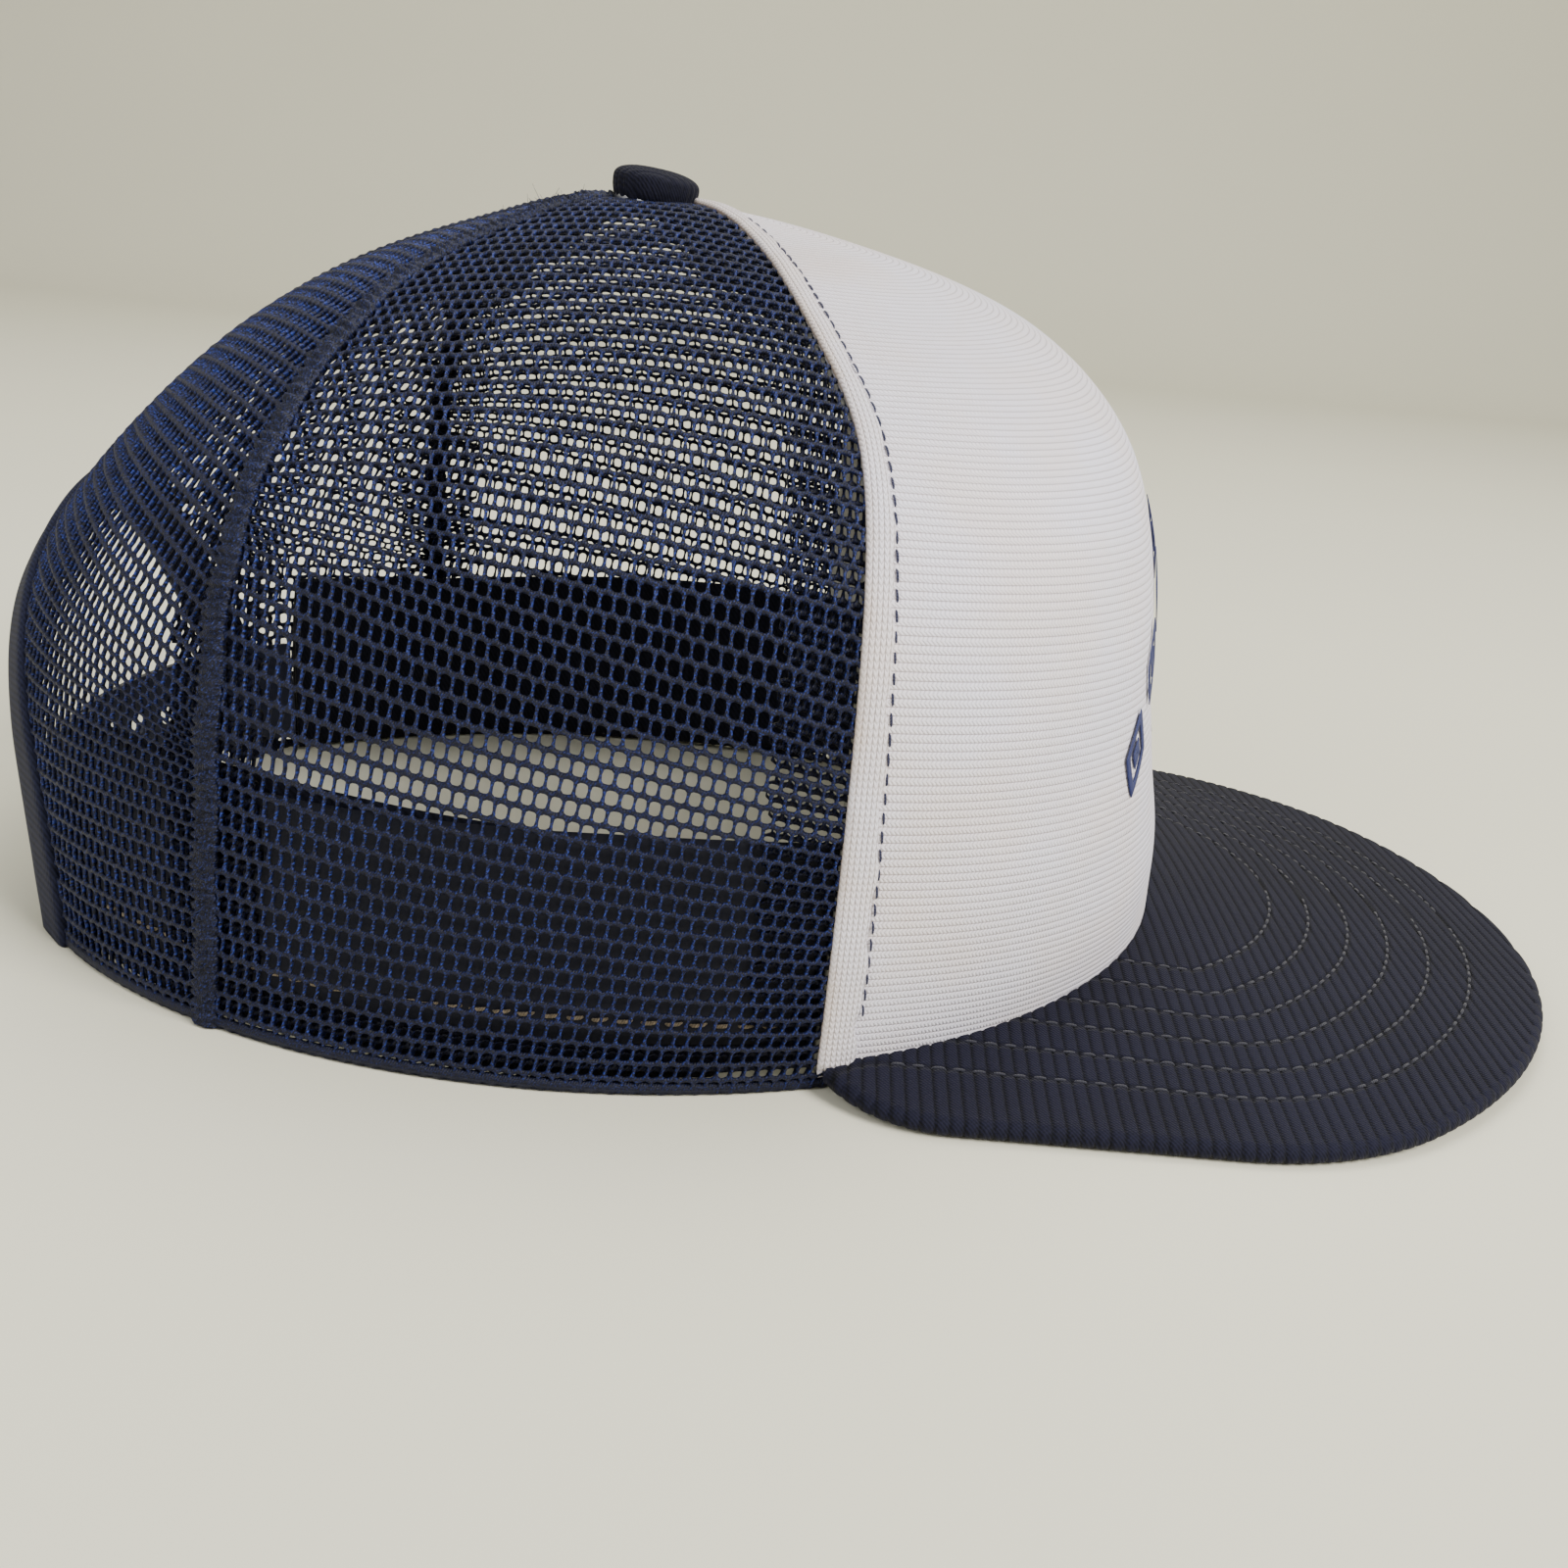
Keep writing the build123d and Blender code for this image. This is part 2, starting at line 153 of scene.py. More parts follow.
def seamAngle(line, s, shift=0.0):
    # angle at which the level s crosses the seam, found by halving the interval
    s = np.asarray(s, float)
    low, high = np.zeros_like(s), np.full_like(s, np.pi)
    for _ in range(34):
        middle = (low + high) / 2
        p = crownPoint(middle, s)
        ahead = p[..., 0] > line(p[..., 1]) + shift
        low, high = np.where(ahead, middle, low), np.where(ahead, high, middle)
    return (low + high) / 2


frontSeam, rearSeam = seamLine("front"), seamLine("rear")


def wallPoint(y, z, side):
    # point and normal of the crown at a given y and z, on its front (side 1) or its back (side -1)
    s = levelOf(z)
    share = np.clip(np.abs(y) / np.maximum(widthAt(s), 1e-6), 0, 1)
    p = 2 / roundness(z)
    turn = np.arcsin(share ** (1 / p)) if side > 0 else np.pi - np.arcsin(share)
    return crownFrame(turn * np.sign(y + 1e-12), s)


def visorHeight(x, y):
    # underside of the visor: an arch across that dies out in a straight line towards the tip
    edge = visor["halfWidth"] + 2 * mm
    bow = np.maximum(0, 1 - (y / edge) ** 2) ** 1.5
    along = np.clip((x - visor["start"]) / (visor["tip"] + 7 * mm - visor["start"]), 0, 1)
    return visor["rise"] * bow * (1 - 0.98 * along)


# meshes
def linked(name, data):
    # an object at the origin, in the scene
    made = bpy.data.objects.new(name, data)
    bpy.context.scene.collection.objects.link(made)
    return made


def thicken(piece, thickness, offset):
    shell = piece.modifiers.new("thickness", "SOLIDIFY")
    shell.thickness, shell.offset = thickness, offset


def meshPiece(name, points, faces, uv=None, values=None, flip=False):
    # a mesh object at the origin; uv and values are given for each vertex
    points, faces = np.asarray(points, float).reshape(-1, 3), np.asarray(faces)
    if flip:
        faces = faces[:, ::-1]
    mesh = bpy.data.meshes.new(name)
    mesh.from_pydata(points.tolist(), [], faces.tolist())
    mesh.polygons.foreach_set("use_smooth", np.ones(len(faces), bool))
    if uv is not None:
        layer = mesh.uv_layers.new(name="UVMap")
        layer.data.foreach_set("uv", np.asarray(uv, np.float32).reshape(-1, 2)[faces.ravel()].ravel())
    for key, value in (values or {}).items():
        data = mesh.attributes.new(key, "FLOAT", "POINT")
        data.data.foreach_set("value", np.asarray(value, np.float32).ravel())
    mesh.update()
    piece = linked(name, mesh)
    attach(piece, "cap")
    return piece


def gridFaces(rows, columns, closeRows=False, closeColumns=False, start=0):
    # quads of a rows by columns grid, wrapped round where asked
    i = np.arange(rows if closeRows else rows - 1)
    j = np.arange(columns if closeColumns else columns - 1)
    i, j = np.meshgrid(i, j, indexing="ij")
    i2, j2 = (i + 1) % rows, (j + 1) % columns
    quads = np.stack([i * columns + j, i * columns + j2, i2 * columns + j2, i2 * columns + j], -1)
    return quads.reshape(-1, 4) + start


def mirrored(points):
    return points * np.array([1, -1, 1])


rng = np.random.default_rng(11)
latticeNoise = rng.normal(size=(256, 1024, 3)).clip(-2, 2)


def ripple(p, size, seed):
    # low smooth unevenness: the sum of four sine waves in unlike directions
    source = np.random.default_rng(seed)
    total = np.zeros(p.shape[:-1])
    for _ in range(4):
        wave = source.normal(size=3)
        wave /= np.linalg.norm(wave)
        total += np.sin(p @ wave * (2 * np.pi / (size * source.uniform(0.7, 1.4))) + source.uniform(0, 6.3))
    return total / 4


# materials
class Value:
    # a number socket whose operators make Math nodes
    def __init__(self, shade, socket):
        self.shade, self.socket = shade, socket

    def math(self, kind, *others, first=None, clamp=False):
        inputs = [self, *others] if first is None else [first, self]
        settings = dict(operation=kind, use_clamp=clamp)
        node = self.shade.node("ShaderNodeMath", settings, dict(enumerate(inputs)))
        return Value(self.shade, node.outputs[0])

    def __add__(self, other):
        return self.math("ADD", other)

    def __radd__(self, other):
        return self.math("ADD", other)

    def __sub__(self, other):
        return self.math("SUBTRACT", other)

    def __rsub__(self, other):
        return self.math("SUBTRACT", first=other)

    def __mul__(self, other):
        return self.math("MULTIPLY", other)

    def __rmul__(self, other):
        return self.math("MULTIPLY", other)

    def __truediv__(self, other):
        return self.math("DIVIDE", other)

    def __pow__(self, other):
        return self.math("POWER", other)

    def __abs__(self):
        return self.math("ABSOLUTE")

    def sine(self):
        return self.math("SINE")

    def whole(self):
        return self.math("ROUND")

    def clamp(self):
        return self.math("ADD", 0.0, clamp=True)

    def ramp(self, low, high):
        # 0 below low and 1 above high, with a smooth step between
        node = self.shade.node("ShaderNodeMapRange", dict(interpolation_type="SMOOTHSTEP"),
                               {0: self, 1: low, 2: high, 3: 0.0, 4: 1.0})
        return Value(self.shade, node.outputs[0])


class Shade:
    def __init__(self, name, **constants):
        self.material = bpy.data.materials.new(name)
        self.material.use_nodes = True
        self.tree = self.material.node_tree
        self.shader = next(n for n in self.tree.nodes if n.type == "BSDF_PRINCIPLED")
        for key, value in constants.items():
            self.shader.inputs[key.replace("_", " ")].default_value = value

    def node(self, kind, settings, inputs):
        made = self.tree.nodes.new(kind)
        for key, value in settings.items():
            setattr(made, key, value)
        for key, value in inputs.items():
            self.join(value, made.inputs[key])
        return made

    def join(self, value, socket):
        if isinstance(value, Value):
            value = value.socket
        if isinstance(value, bpy.types.NodeSocket):
            self.tree.links.new(value, socket)
        elif isinstance(value, tuple) and socket.type == "RGBA":
            socket.default_value = (*value, 1.0)
        else:
            socket.default_value = value

    def place(self):
        # the vertex's own place in millimetres, as a vector socket
        source = self.node("ShaderNodeTexCoord", {}, {})
        scaled = self.node("ShaderNodeVectorMath", dict(operation="SCALE"), {0: source.outputs["Object"]})
        scaled.inputs["Scale"].default_value = 1000.0
        return scaled.outputs[0]

    def weave(self):
        # the cloth's own flat place in millimetres
        return self.node("ShaderNodeUVMap", dict(uv_map="UVMap"), {}).outputs[0]

    def split(self, vector):
        parts = self.node("ShaderNodeSeparateXYZ", {}, {0: vector})
        return [Value(self, out) for out in parts.outputs]

    def attribute(self, name):
        return Value(self, self.node("ShaderNodeAttribute", dict(attribute_name=name), {}).outputs["Fac"])

    def noise(self, vector, scale, detail=3.0):
        # scale is the number of blotches in each millimetre
        made = self.node("ShaderNodeTexNoise", {}, {"Vector": vector, "Scale": scale, "Detail": detail})
        return Value(self, made.outputs[0])

    def mix(self, factor, first, second):
        made = self.node("ShaderNodeMix", dict(data_type="RGBA"), {0: factor, 6: first, 7: second})
        return made.outputs[2]

    def finish(self, base, rough, height=None):
        # height is in millimetres
        self.join(base, self.shader.inputs["Base Color"])
        self.join(rough, self.shader.inputs["Roughness"])
        if height is not None:
            bump = self.node("ShaderNodeBump", {}, {"Height": height, "Distance": mm})
            self.join(bump.outputs[0], self.shader.inputs["Normal"])
        return self.material


def knitShade(name, row, stitch, upright, stain, grooveShade):
    # knitted cloth: rows of slanted stitches that lean one way and then the other, with painted shade in the
    # low places between them
    shade = Shade(name, Sheen_Weight=0.25, Sheen_Roughness=0.5, Specular_IOR_Level=0.25)
    u, v, _ = shade.split(shade.weave())
    along, across = (v, u) if upright else (u, v)
    turn = across * (math.pi / row)
    ridge = abs(turn.sine())
    lean = abs(across / row - (across / row).whole())
    loop = abs(((along / stitch + lean * 1.3) * math.pi).sine())
    relief = ridge ** 0.5 * (loop * 0.62 + 0.38)
    fibres = shade.noise(shade.weave(), 7.0, 4.0)
    blotch = shade.noise(shade.place(), 0.055, 4.0)
    worn = shade.noise(shade.place(), 0.35, 3.0)
    tint = shade.mix(blotch.ramp(0.35, 0.7), (0.86, 0.84, 0.98), (0.88, 0.81, 0.86))
    dirt = (shade.attribute("stain") * (worn * 0.8 + 0.6)).clamp()
    tint = shade.mix(dirt * stain, tint, (0.62, 0.50, 0.40))
    # painted shade: the grooves of the relief take a darker colour, turned brown with the stain attribute
    dark = shade.mix(dirt, grooveShade, (0.27, 0.18, 0.12))
    base = shade.mix((relief * 0.9 + fibres * 0.3).ramp(0.10, 0.72), dark, tint)
    return shade.finish(base, 0.82, relief * 0.24 + fibres * 0.07)


def netShade(name, dark, glintColor, glintAmount):
    # twisted yarn: dark flat joins, and painted glints on the uprights along fine slanted filaments
    shade = Shade(name, Specular_IOR_Level=0.26, Sheen_Weight=0.02, Sheen_Roughness=0.35)
    u, v, _ = shade.split(shade.weave())
    upright = shade.attribute("upright")
    grain = shade.noise(shade.weave(), 3.4, 4.0)
    patch = shade.noise(shade.place(), 0.09, 3.0)
    twist = ((v * 1.7 + u * 5.2) * math.pi).sine() * 0.5 + 0.5
    # painted glint: the uprights turn brighter blue where the twisted fibres would catch the light
    lit = (upright * 0.85 + 0.12) * (twist * 0.6 + 0.4) * grain.ramp(0.42, 0.72) * (patch + 0.45)
    base = shade.mix((lit * glintAmount).clamp(), dark, glintColor)
    return shade.finish(base, grain * 0.25 + 0.36, twist * 0.07 + grain * 0.16)


def twillShade(name, dark, light, pitch, groove=False, depth=0.05):
    # fine diagonal twill; the ribs are in the mesh, and here their grooves and the dips along the quilting
    # rows get painted shade
    shade = Shade(name, Sheen_Weight=0.04, Sheen_Roughness=0.45, Specular_IOR_Level=0.15)
    x, y, z = shade.split(shade.place())
    slant = ((x + y * 0.8 + z * 0.7) * (2 * math.pi / pitch)).sine() * 0.5 + 0.5
    thread = ((y - x * 0.5) * (2 * math.pi / (pitch * 0.8))).sine() * 0.5 + 0.5
    lint = shade.noise(shade.place(), 2.2, 5.0)
    fade = shade.noise(shade.place(), 0.05, 4.0)
    tone = slant * 0.35 + thread * 0.15 + lint * 0.6 + fade * 0.35
    height = slant * depth + thread * depth * 0.6 + lint * 0.06
    if groove:
        # painted shade: darker in the rib grooves and along the quilting rows
        rib = shade.attribute("rib")
        tone = tone + rib * 0.5 - 0.35
        row = (shade.attribute("inset") - 12.0) / 6.8
        near = abs(row - row.whole()) * 6.8
        inside = row.ramp(-0.4, -0.3) * (1.0 - row.ramp(5.3, 5.4))
        dip = (1.0 - near.ramp(0.15, 0.95)) * inside
        tone = tone - dip * 0.25
        height = height - dip * 0.22
    base = shade.mix(tone.ramp(0.25, 1.1), dark, light)
    return shade.finish(base, 0.78, height)


def threadShade(name, color):
    shade = Shade(name, Specular_IOR_Level=0.35, Sheen_Weight=0.2)
    u, v, _ = shade.split(shade.weave())
    twist = ((u * 2.6 + v * 1.0) * (2 * math.pi)).sine() * 0.5 + 0.5
    fuzz = shade.noise(shade.place(), 3.0, 3.0)
    dark = tuple(c * 0.35 for c in color)
    base = shade.mix((twist * 0.6 + fuzz * 0.6).clamp(), dark, color)
    return shade.finish(base, 0.6, twist * 0.06)


def plainShade(name, color, rough, size, depth, metal=0.0, spread=0.25):
    # an even material with grain of the given size in millimetres
    shade = Shade(name, Specular_IOR_Level=0.45, Metallic=metal)
    grain = shade.noise(shade.place(), 1.0 / size, 4.0)
    low = tuple(c * (1 - spread) for c in color)
    base = shade.mix(grain.ramp(0.3, 0.7), low, color)
    return shade.finish(base, grain * 0.15 + rough, grain * depth)


look = dict(
    # the last colour of each knit is the painted shade in its grooves
    front=knitShade("frontKnit", 1.17, 0.62, False, 0.5, (0.44, 0.38, 0.44)),
    strip=knitShade("stripKnit", 0.74, 0.98, True, 0.95, (0.30, 0.24, 0.22)),
    # the second colour of each yarn is its painted glint
    net=netShade("netYarn", (0.0016, 0.0021, 0.0085), (0.030, 0.058, 0.33), 1.5),
    fold=netShade("foldYarn", (0.0014, 0.0018, 0.0075), (0.020, 0.038, 0.21), 1.2),
    # the visor's rib grooves and quilting rows get painted shade
    visor=twillShade("visorCloth", (0.0008, 0.0009, 0.0026), (0.0075, 0.0078, 0.0210), 0.62, True),
    button=twillShade("buttonCloth", (0.0009, 0.0010, 0.0028), (0.0075, 0.0078, 0.0200), 0.6),
    binding=twillShade("bindingCloth", (0.0024, 0.0030, 0.008), (0.0140, 0.0160, 0.0400), 0.9),
    band=twillShade("bandCloth", (0.0020, 0.0024, 0.006), (0.0110, 0.0120, 0.0240), 1.1),
    lining=plainShade("liningCloth", (0.006, 0.007, 0.018), 0.7, 0.7, 0.12),
    foam=plainShade("foamSheet", (0.62, 0.60, 0.54), 0.8, 0.9, 0.15, spread=0.12),
    navyThread=threadShade("navyThread", (0.012, 0.015, 0.060)),
    tanThread=threadShade("tanThread", (0.42, 0.33, 0.22)),
    visorThread=threadShade("visorThread", (0.012, 0.0125, 0.026)),
    # the ridge yarn's second colour is its painted glint
    ridge=netShade("ridgeYarn", (0.0014, 0.0018, 0.0070), (0.026, 0.046, 0.23), 1.2),
    ink=plainShade("inkPrint", (0.012, 0.020, 0.115), 0.55, 0.35, 0.05, spread=0.35),
    strap=plainShade("strapPlastic", (0.010, 0.013, 0.038), 0.32, 0.8, 0.02),
    metal=plainShade("buttonMetal", (0.55, 0.55, 0.57), 0.28, 1.5, 0.01, metal=1.0, spread=0.1),
    board=plainShade("boardPlastic", (0.03, 0.03, 0.035), 0.5, 1.5, 0.02),
)
print("materials made")


def dress(piece, material, slot, *nodes):
    piece.data.materials.append(look[material])
    if nodes:
        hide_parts(*nodes)
    return piece


# net panels
net = dict(across=1.95 * mm, up=2.75 * mm, hole=(0.78 * mm, 1.02 * mm), power=3.6, zigzag=0.26 * mm,
           jitter=0.09 * mm, depths=(0.05, 0.14, 0.42, 0.70, 0.80), shoulder=0.62,
           sideAngle=math.radians(93), rearAngle=math.radians(150), tilt=math.radians(8), tiltHeight=60 * mm,
           mapStep=1.3 * mm, belowRim=7 * mm, reach=75 * mm, floor=0.5 * mm, middleGap=0.03 * mm,
           raised=0.12 * mm, uneven=0.03 * mm, buttonClear=5.5 * mm)
# The doubled net beside each seam and along the rim, which stands for the tapes sewn inside.
fold = dict(front=10.3 * mm, seam=8 * mm, rim=6.2 * mm, depth=0.95 * mm, shift=(0.75 * mm, 1.2 * mm),
            buttonClear=7.5 * mm)


def netMap(centre, low, high, tilt):
    # the cloth's flat grid on the crown: each row is the crown's crossing with a plane, level at the rim
    # and square to the panel's middle meridian higher up, and places along a row are arc lengths from it
    s = np.linspace(-0.07, 0.992, 250)
    middle = crownPoint(centre, s)
    length = runAlong(middle)
    length -= np.interp(0, s, length)
    step = net["mapStep"]
    b = np.arange(-net["belowRim"], length[-1], step)
    sRow = np.interp(b, length, s)
    start, normal = crownFrame(centre, sRow)
    rise = unit(crownPoint(centre, sRow + 1e-3) - crownPoint(centre, sRow - 1e-3))
    across = np.cross(rise, normal)
    share = np.clip(b / net["tiltHeight"], 0, 1)[:, None] ** 1.4
    plane = rise * np.cos(tilt * share) - across * np.sin(tilt * share)
    plane = unit(plane * share + np.array([0, 0, 1.0]) * (1 - share))
    angles = np.linspace(low, high, 181)
    grid = crownPoint(angles[:, None], s[None, :])
    height = np.einsum("ajk,rk->raj", grid, plane) - np.sum(start * plane, 1)[:, None, None]
    k = np.clip((height < 0).sum(-1), 1, len(s) - 1)
    f0 = np.take_along_axis(height, (k - 1)[..., None], -1)[..., 0]
    f1 = np.take_along_axis(height, k[..., None], -1)[..., 0]
    mix = np.clip(-f0 / np.where(np.abs(f1 - f0) < 1e-12, 1, f1 - f0), 0, 1)
    sCross = s[k - 1] + mix * (s[k] - s[k - 1])
    points = crownPoint(angles[None, :], sCross)
    along = np.cumsum(np.linalg.norm(np.diff(points, axis=1), axis=2), 1)
    along = np.concatenate([np.zeros((len(b), 1)), along], 1)
    along -= np.array([np.interp(centre, angles, row) for row in along])[:, None]
    a = np.arange(-net["reach"], net["reach"], step)
    turnAt = np.array([np.interp(a, row, angles) for row in along])
    sAt = np.array([np.interp(a, row, crossing) for row, crossing in zip(along, sCross)])
    place, out = crownFrame(turnAt, sAt)

    def sample(flat):
        i = np.clip((flat[..., 1] - b[0]) / step, 0, len(b) - 1.001)
        j = np.clip((flat[..., 0] - a[0]) / step, 0, len(a) - 1.001)
        i0, j0 = i.astype(int), j.astype(int)
        fi, fj = (i - i0)[..., None], (j - j0)[..., None]

        def at(field):
            low = field[i0, j0] * (1 - fj) + field[i0, j0 + 1] * fj
            high = field[i0 + 1, j0] * (1 - fj) + field[i0 + 1, j0 + 1] * fj
            return low * (1 - fi) + high * fi
        return at(place), unit(at(out))
    return sample, b[-1]


def seamTrack(line, count=400):
    s = np.linspace(0, 0.995, count)
    return crownPoint(seamAngle(line, s), s)


def gapTo(track, p):
    # distance from each point to the nearest point of a seam
    return np.sqrt(((p[:, None, :] - track[None]) ** 2).sum(-1).min(1))


def cellRims(row, q0, offset):
    # the twelve rim points of each cell: a brick wall of cells whose flat edges zigzag
    w, h = net["across"], net["up"]
    k = np.arange(12)
    quarter = q0[:, None] + np.array([0, 1, 2, 3, 4, 4, 4, 3, 2, 1, 0, 0])
    line = row[:, None] + np.array([0, 0, 0, 0, 0, 0, 1, 1, 1, 1, 1, 0])
    beside = np.broadcast_to((k == 5) | (k == 11), line.shape)
    up = np.where(beside, line + 0.5, line) * h
    up = up + np.where(beside, 0, net["zigzag"] * np.cos(np.pi / 2 * (quarter - 2 * (line % 2))))
    rim = np.stack([quarter * w / 4, up], -1) + offset
    rim += latticeNoise[(line + 100 + 60 * beside) % 256, quarter % 1024, :2] * net["jitter"]
    key = ((line + 50) * 4096 + quarter + 1000) * 2 + beside
    return rim, key


def netPiece(name, side, sample, top, keep, depth=0.0, shift=(0.0, 0.0)):
    # each cell steps from its shared rim over a shoulder into its rounded hole and back underneath
    w, h = net["across"], net["up"]
    row, column = np.meshgrid(np.arange(-3, int(top / h)), np.arange(-38, 38), indexing="ij")
    row, column = row.ravel(), column.ravel()
    q0 = 4 * column + 2 * (row % 2)
    offset = np.array(shift)
    centre = np.stack([(q0 + 2) * w / 4, (row + 0.5) * h], -1) + offset
    kept = keep(sample(centre)[0])
    row, q0, centre = row[kept], q0[kept], centre[kept]
    rim, key = cellRims(row, q0, offset)
    arrow = rim - centre[:, None]
    size = (np.abs(arrow / np.array(net["hole"])) ** net["power"]).sum(-1) ** (1 / net["power"])
    hole = centre[:, None] + arrow / np.maximum(size, 1.05)[..., None]
    shoulder = rim + (hole - rim) * net["shoulder"]
    _, first, index = np.unique(key.ravel(), return_index=True, return_inverse=True)
    index = index.reshape(key.shape)
    shared = rim.reshape(-1, 2)[first]
    m, n = len(shared), len(row)
    # upright share of each rim point: it raises the strand and sets how much painted glint the yarn shows
    # there
    upright = np.array([0.5, 0.1, 0.0, 0.1, 0.5, 1.0, 0.5, 0.1, 0.0, 0.1, 0.5, 1.0])
    uprightAll = np.broadcast_to(upright, key.shape)
    flat = np.concatenate([shared, shared, shoulder.reshape(-1, 2), hole.reshape(-1, 2),
                           shoulder.reshape(-1, 2)])
    sink = np.repeat(np.array(net["depths"])[[0, 4, 1, 2, 3]], [m, m, 12 * n, 12 * n, 12 * n]) * mm + depth
    lift = np.concatenate([uprightAll.ravel()[first]] * 2 + [uprightAll.ravel()] * 3)
    bulge = latticeNoise[(np.abs(flat[:, 1] / h * 2).astype(int)) % 256,
                         (flat[:, 0] / w * 4).astype(int) % 1024, 2] * net["uneven"]
    place, normal = sample(flat)
    place = place - normal * (sink + bulge + lift * net["raised"])[:, None]
    place[:, 2] = np.maximum(place[:, 2], net["floor"])
    place[:, 1] = np.maximum(place[:, 1], net["middleGap"])
    k = np.arange(12)
    base = 2 * m + np.arange(n)[:, None] * 12 + k
    loops = [index, base, base + 12 * n, base + 24 * n, index + m]
    turn = np.roll(k, -1)
    faces = [np.stack([p, p[:, turn], q[:, turn], q], -1).reshape(-1, 4)
             for p, q in zip(loops, loops[1:])]
    edges = np.stack([index, index[:, turn]], -1).reshape(-1, 2)
    _, where, count = np.unique(np.sort(edges, 1), axis=0, return_index=True, return_counts=True)
    single = edges[where[count == 1]]
    faces.append(np.stack([single[:, 1], single[:, 0], single[:, 0] + m, single[:, 1] + m], -1))
    if side < 0:
        place = mirrored(place)
    return meshPiece(name, place, np.concatenate(faces), flat / mm, {"upright": lift}, flip=side < 0)


sideSample, sideTop = netMap(net["sideAngle"], math.radians(20), math.radians(170), net["tilt"])
rearSample, rearTop = netMap(net["rearAngle"], math.radians(85), math.radians(205), 0.0)
frontTrack, rearTrack = seamTrack(frontSeam), seamTrack(rearSeam)
buttonX = 2 * mm


def clearOfButton(p, radius):
    return np.hypot(p[:, 0] - buttonX, p[:, 1]) > radius


def onSide(p):
    return ((p[:, 0] < frontSeam(p[:, 1]) + 1.5 * mm) & (p[:, 0] > rearSeam(p[:, 1]) - 0.6 * mm)
            & (p[:, 1] > 0) & (p[:, 2] > 0.2 * mm) & clearOfButton(p, net["buttonClear"]))


def onRear(p):
    opening = np.hypot(p[:, 1] / (arch["halfWidth"] + mm), p[:, 2] / (arch["height"] + mm)) > 1
    return ((p[:, 0] < rearSeam(p[:, 1]) + 0.6 * mm) & (p[:, 1] > -0.4 * mm) & (p[:, 2] > 0.2 * mm)
            & opening & clearOfButton(p, net["buttonClear"]))


def sideFold(p):
    edge = (gapTo(frontTrack, p) < fold["front"]) | (gapTo(rearTrack, p) < fold["seam"])
    return onSide(p) & (edge | (p[:, 2] < fold["rim"])) & clearOfButton(p, fold["buttonClear"])


def rearFold(p):
    edge = (gapTo(rearTrack, p) < fold["seam"]) | (np.abs(p[:, 1]) < fold["seam"])
    return onRear(p) & (edge | (p[:, 2] < fold["rim"])) & clearOfButton(p, fold["buttonClear"])


for side, word in ((-1, "right"), (1, "left")):
    dress(netPiece(f"side_net_{word}", side, sideSample, sideTop, onSide), "net", "net", f"side_mesh_{word}")
    dress(netPiece(f"rear_net_{word}", side, rearSample, rearTop, onRear), "net", "net", f"rear_mesh_{word}")
    dress(netPiece(f"side_fold_{word}", side, sideSample, sideTop, sideFold, fold["depth"],
                   fold["shift"]), "fold", "seam_tape",
          f"front_seam_tape_{word}", f"rear_seam_tape_{word}")
    dress(netPiece(f"rear_fold_{word}", side, rearSample, rearTop, rearFold, fold["depth"],
                   fold["shift"]), "fold", "seam_tape", "back_seam_tape")
print("net panels woven")


# bands that follow a seam or a rim
def outwardFacing(points, faces):
    # true if the closed mesh's signed volume is positive
    a, b, c, d = (points[faces[:, i]] for i in range(4))
    return (np.einsum("ij,ij->i", a, np.cross(b, c)) + np.einsum("ij,ij->i", a, np.cross(c, d))).sum() > 0


def bandPiece(name, rings, uv=None, values=None, side=1):
    rings = np.asarray(rings, float)
    if side < 0:
        rings = mirrored(rings)
    rows, columns = rings.shape[:2]
    faces = gridFaces(rows, columns, closeColumns=True)
    k = np.arange(columns // 2 - 1)
    end = np.stack([k, k + 1, columns - 2 - k, columns - 1 - k], -1)
    faces = np.concatenate([faces, end[:, ::-1], end + (rows - 1) * columns])
    centre = rings.reshape(-1, 3).mean(0)
    flip = not outwardFacing(rings.reshape(-1, 3) - centre, faces)
    return meshPiece(name, rings, faces, uv, values, flip)


def raisedRings(place, out, rise, depth):
    # closed rings across a strip: the raised face one way and the flat underside back
    return np.concatenate([place + out * rise[..., None] * mm, (place - out * depth)[:, ::-1]], 1)


def ringMap(across, along):
    # flat place of each point of those rings: there and back across the strip, and along it
    across = np.concatenate([across, across[:, ::-1]], 1)
    return np.stack([across, np.repeat(along[:, None], across.shape[1], 1)], -1)


strip = dict(levels=(0.0, 0.3, 0.55, 0.8, 1.0), widths=(5.4, 4.9, 4.1, 3.4, 3.3), bulge=0.8, steps=190,
             across=19, thickness=0.35 * mm, overSeam=0.25 * mm, topLevel=0.985)


def stripWidth(s):
    return np.interp(heightAt(s) / crown["height"], strip["levels"], strip["widths"]) * mm


def visorTop(x, y):
    return visorHeight(x, y) + visor["thickness"]


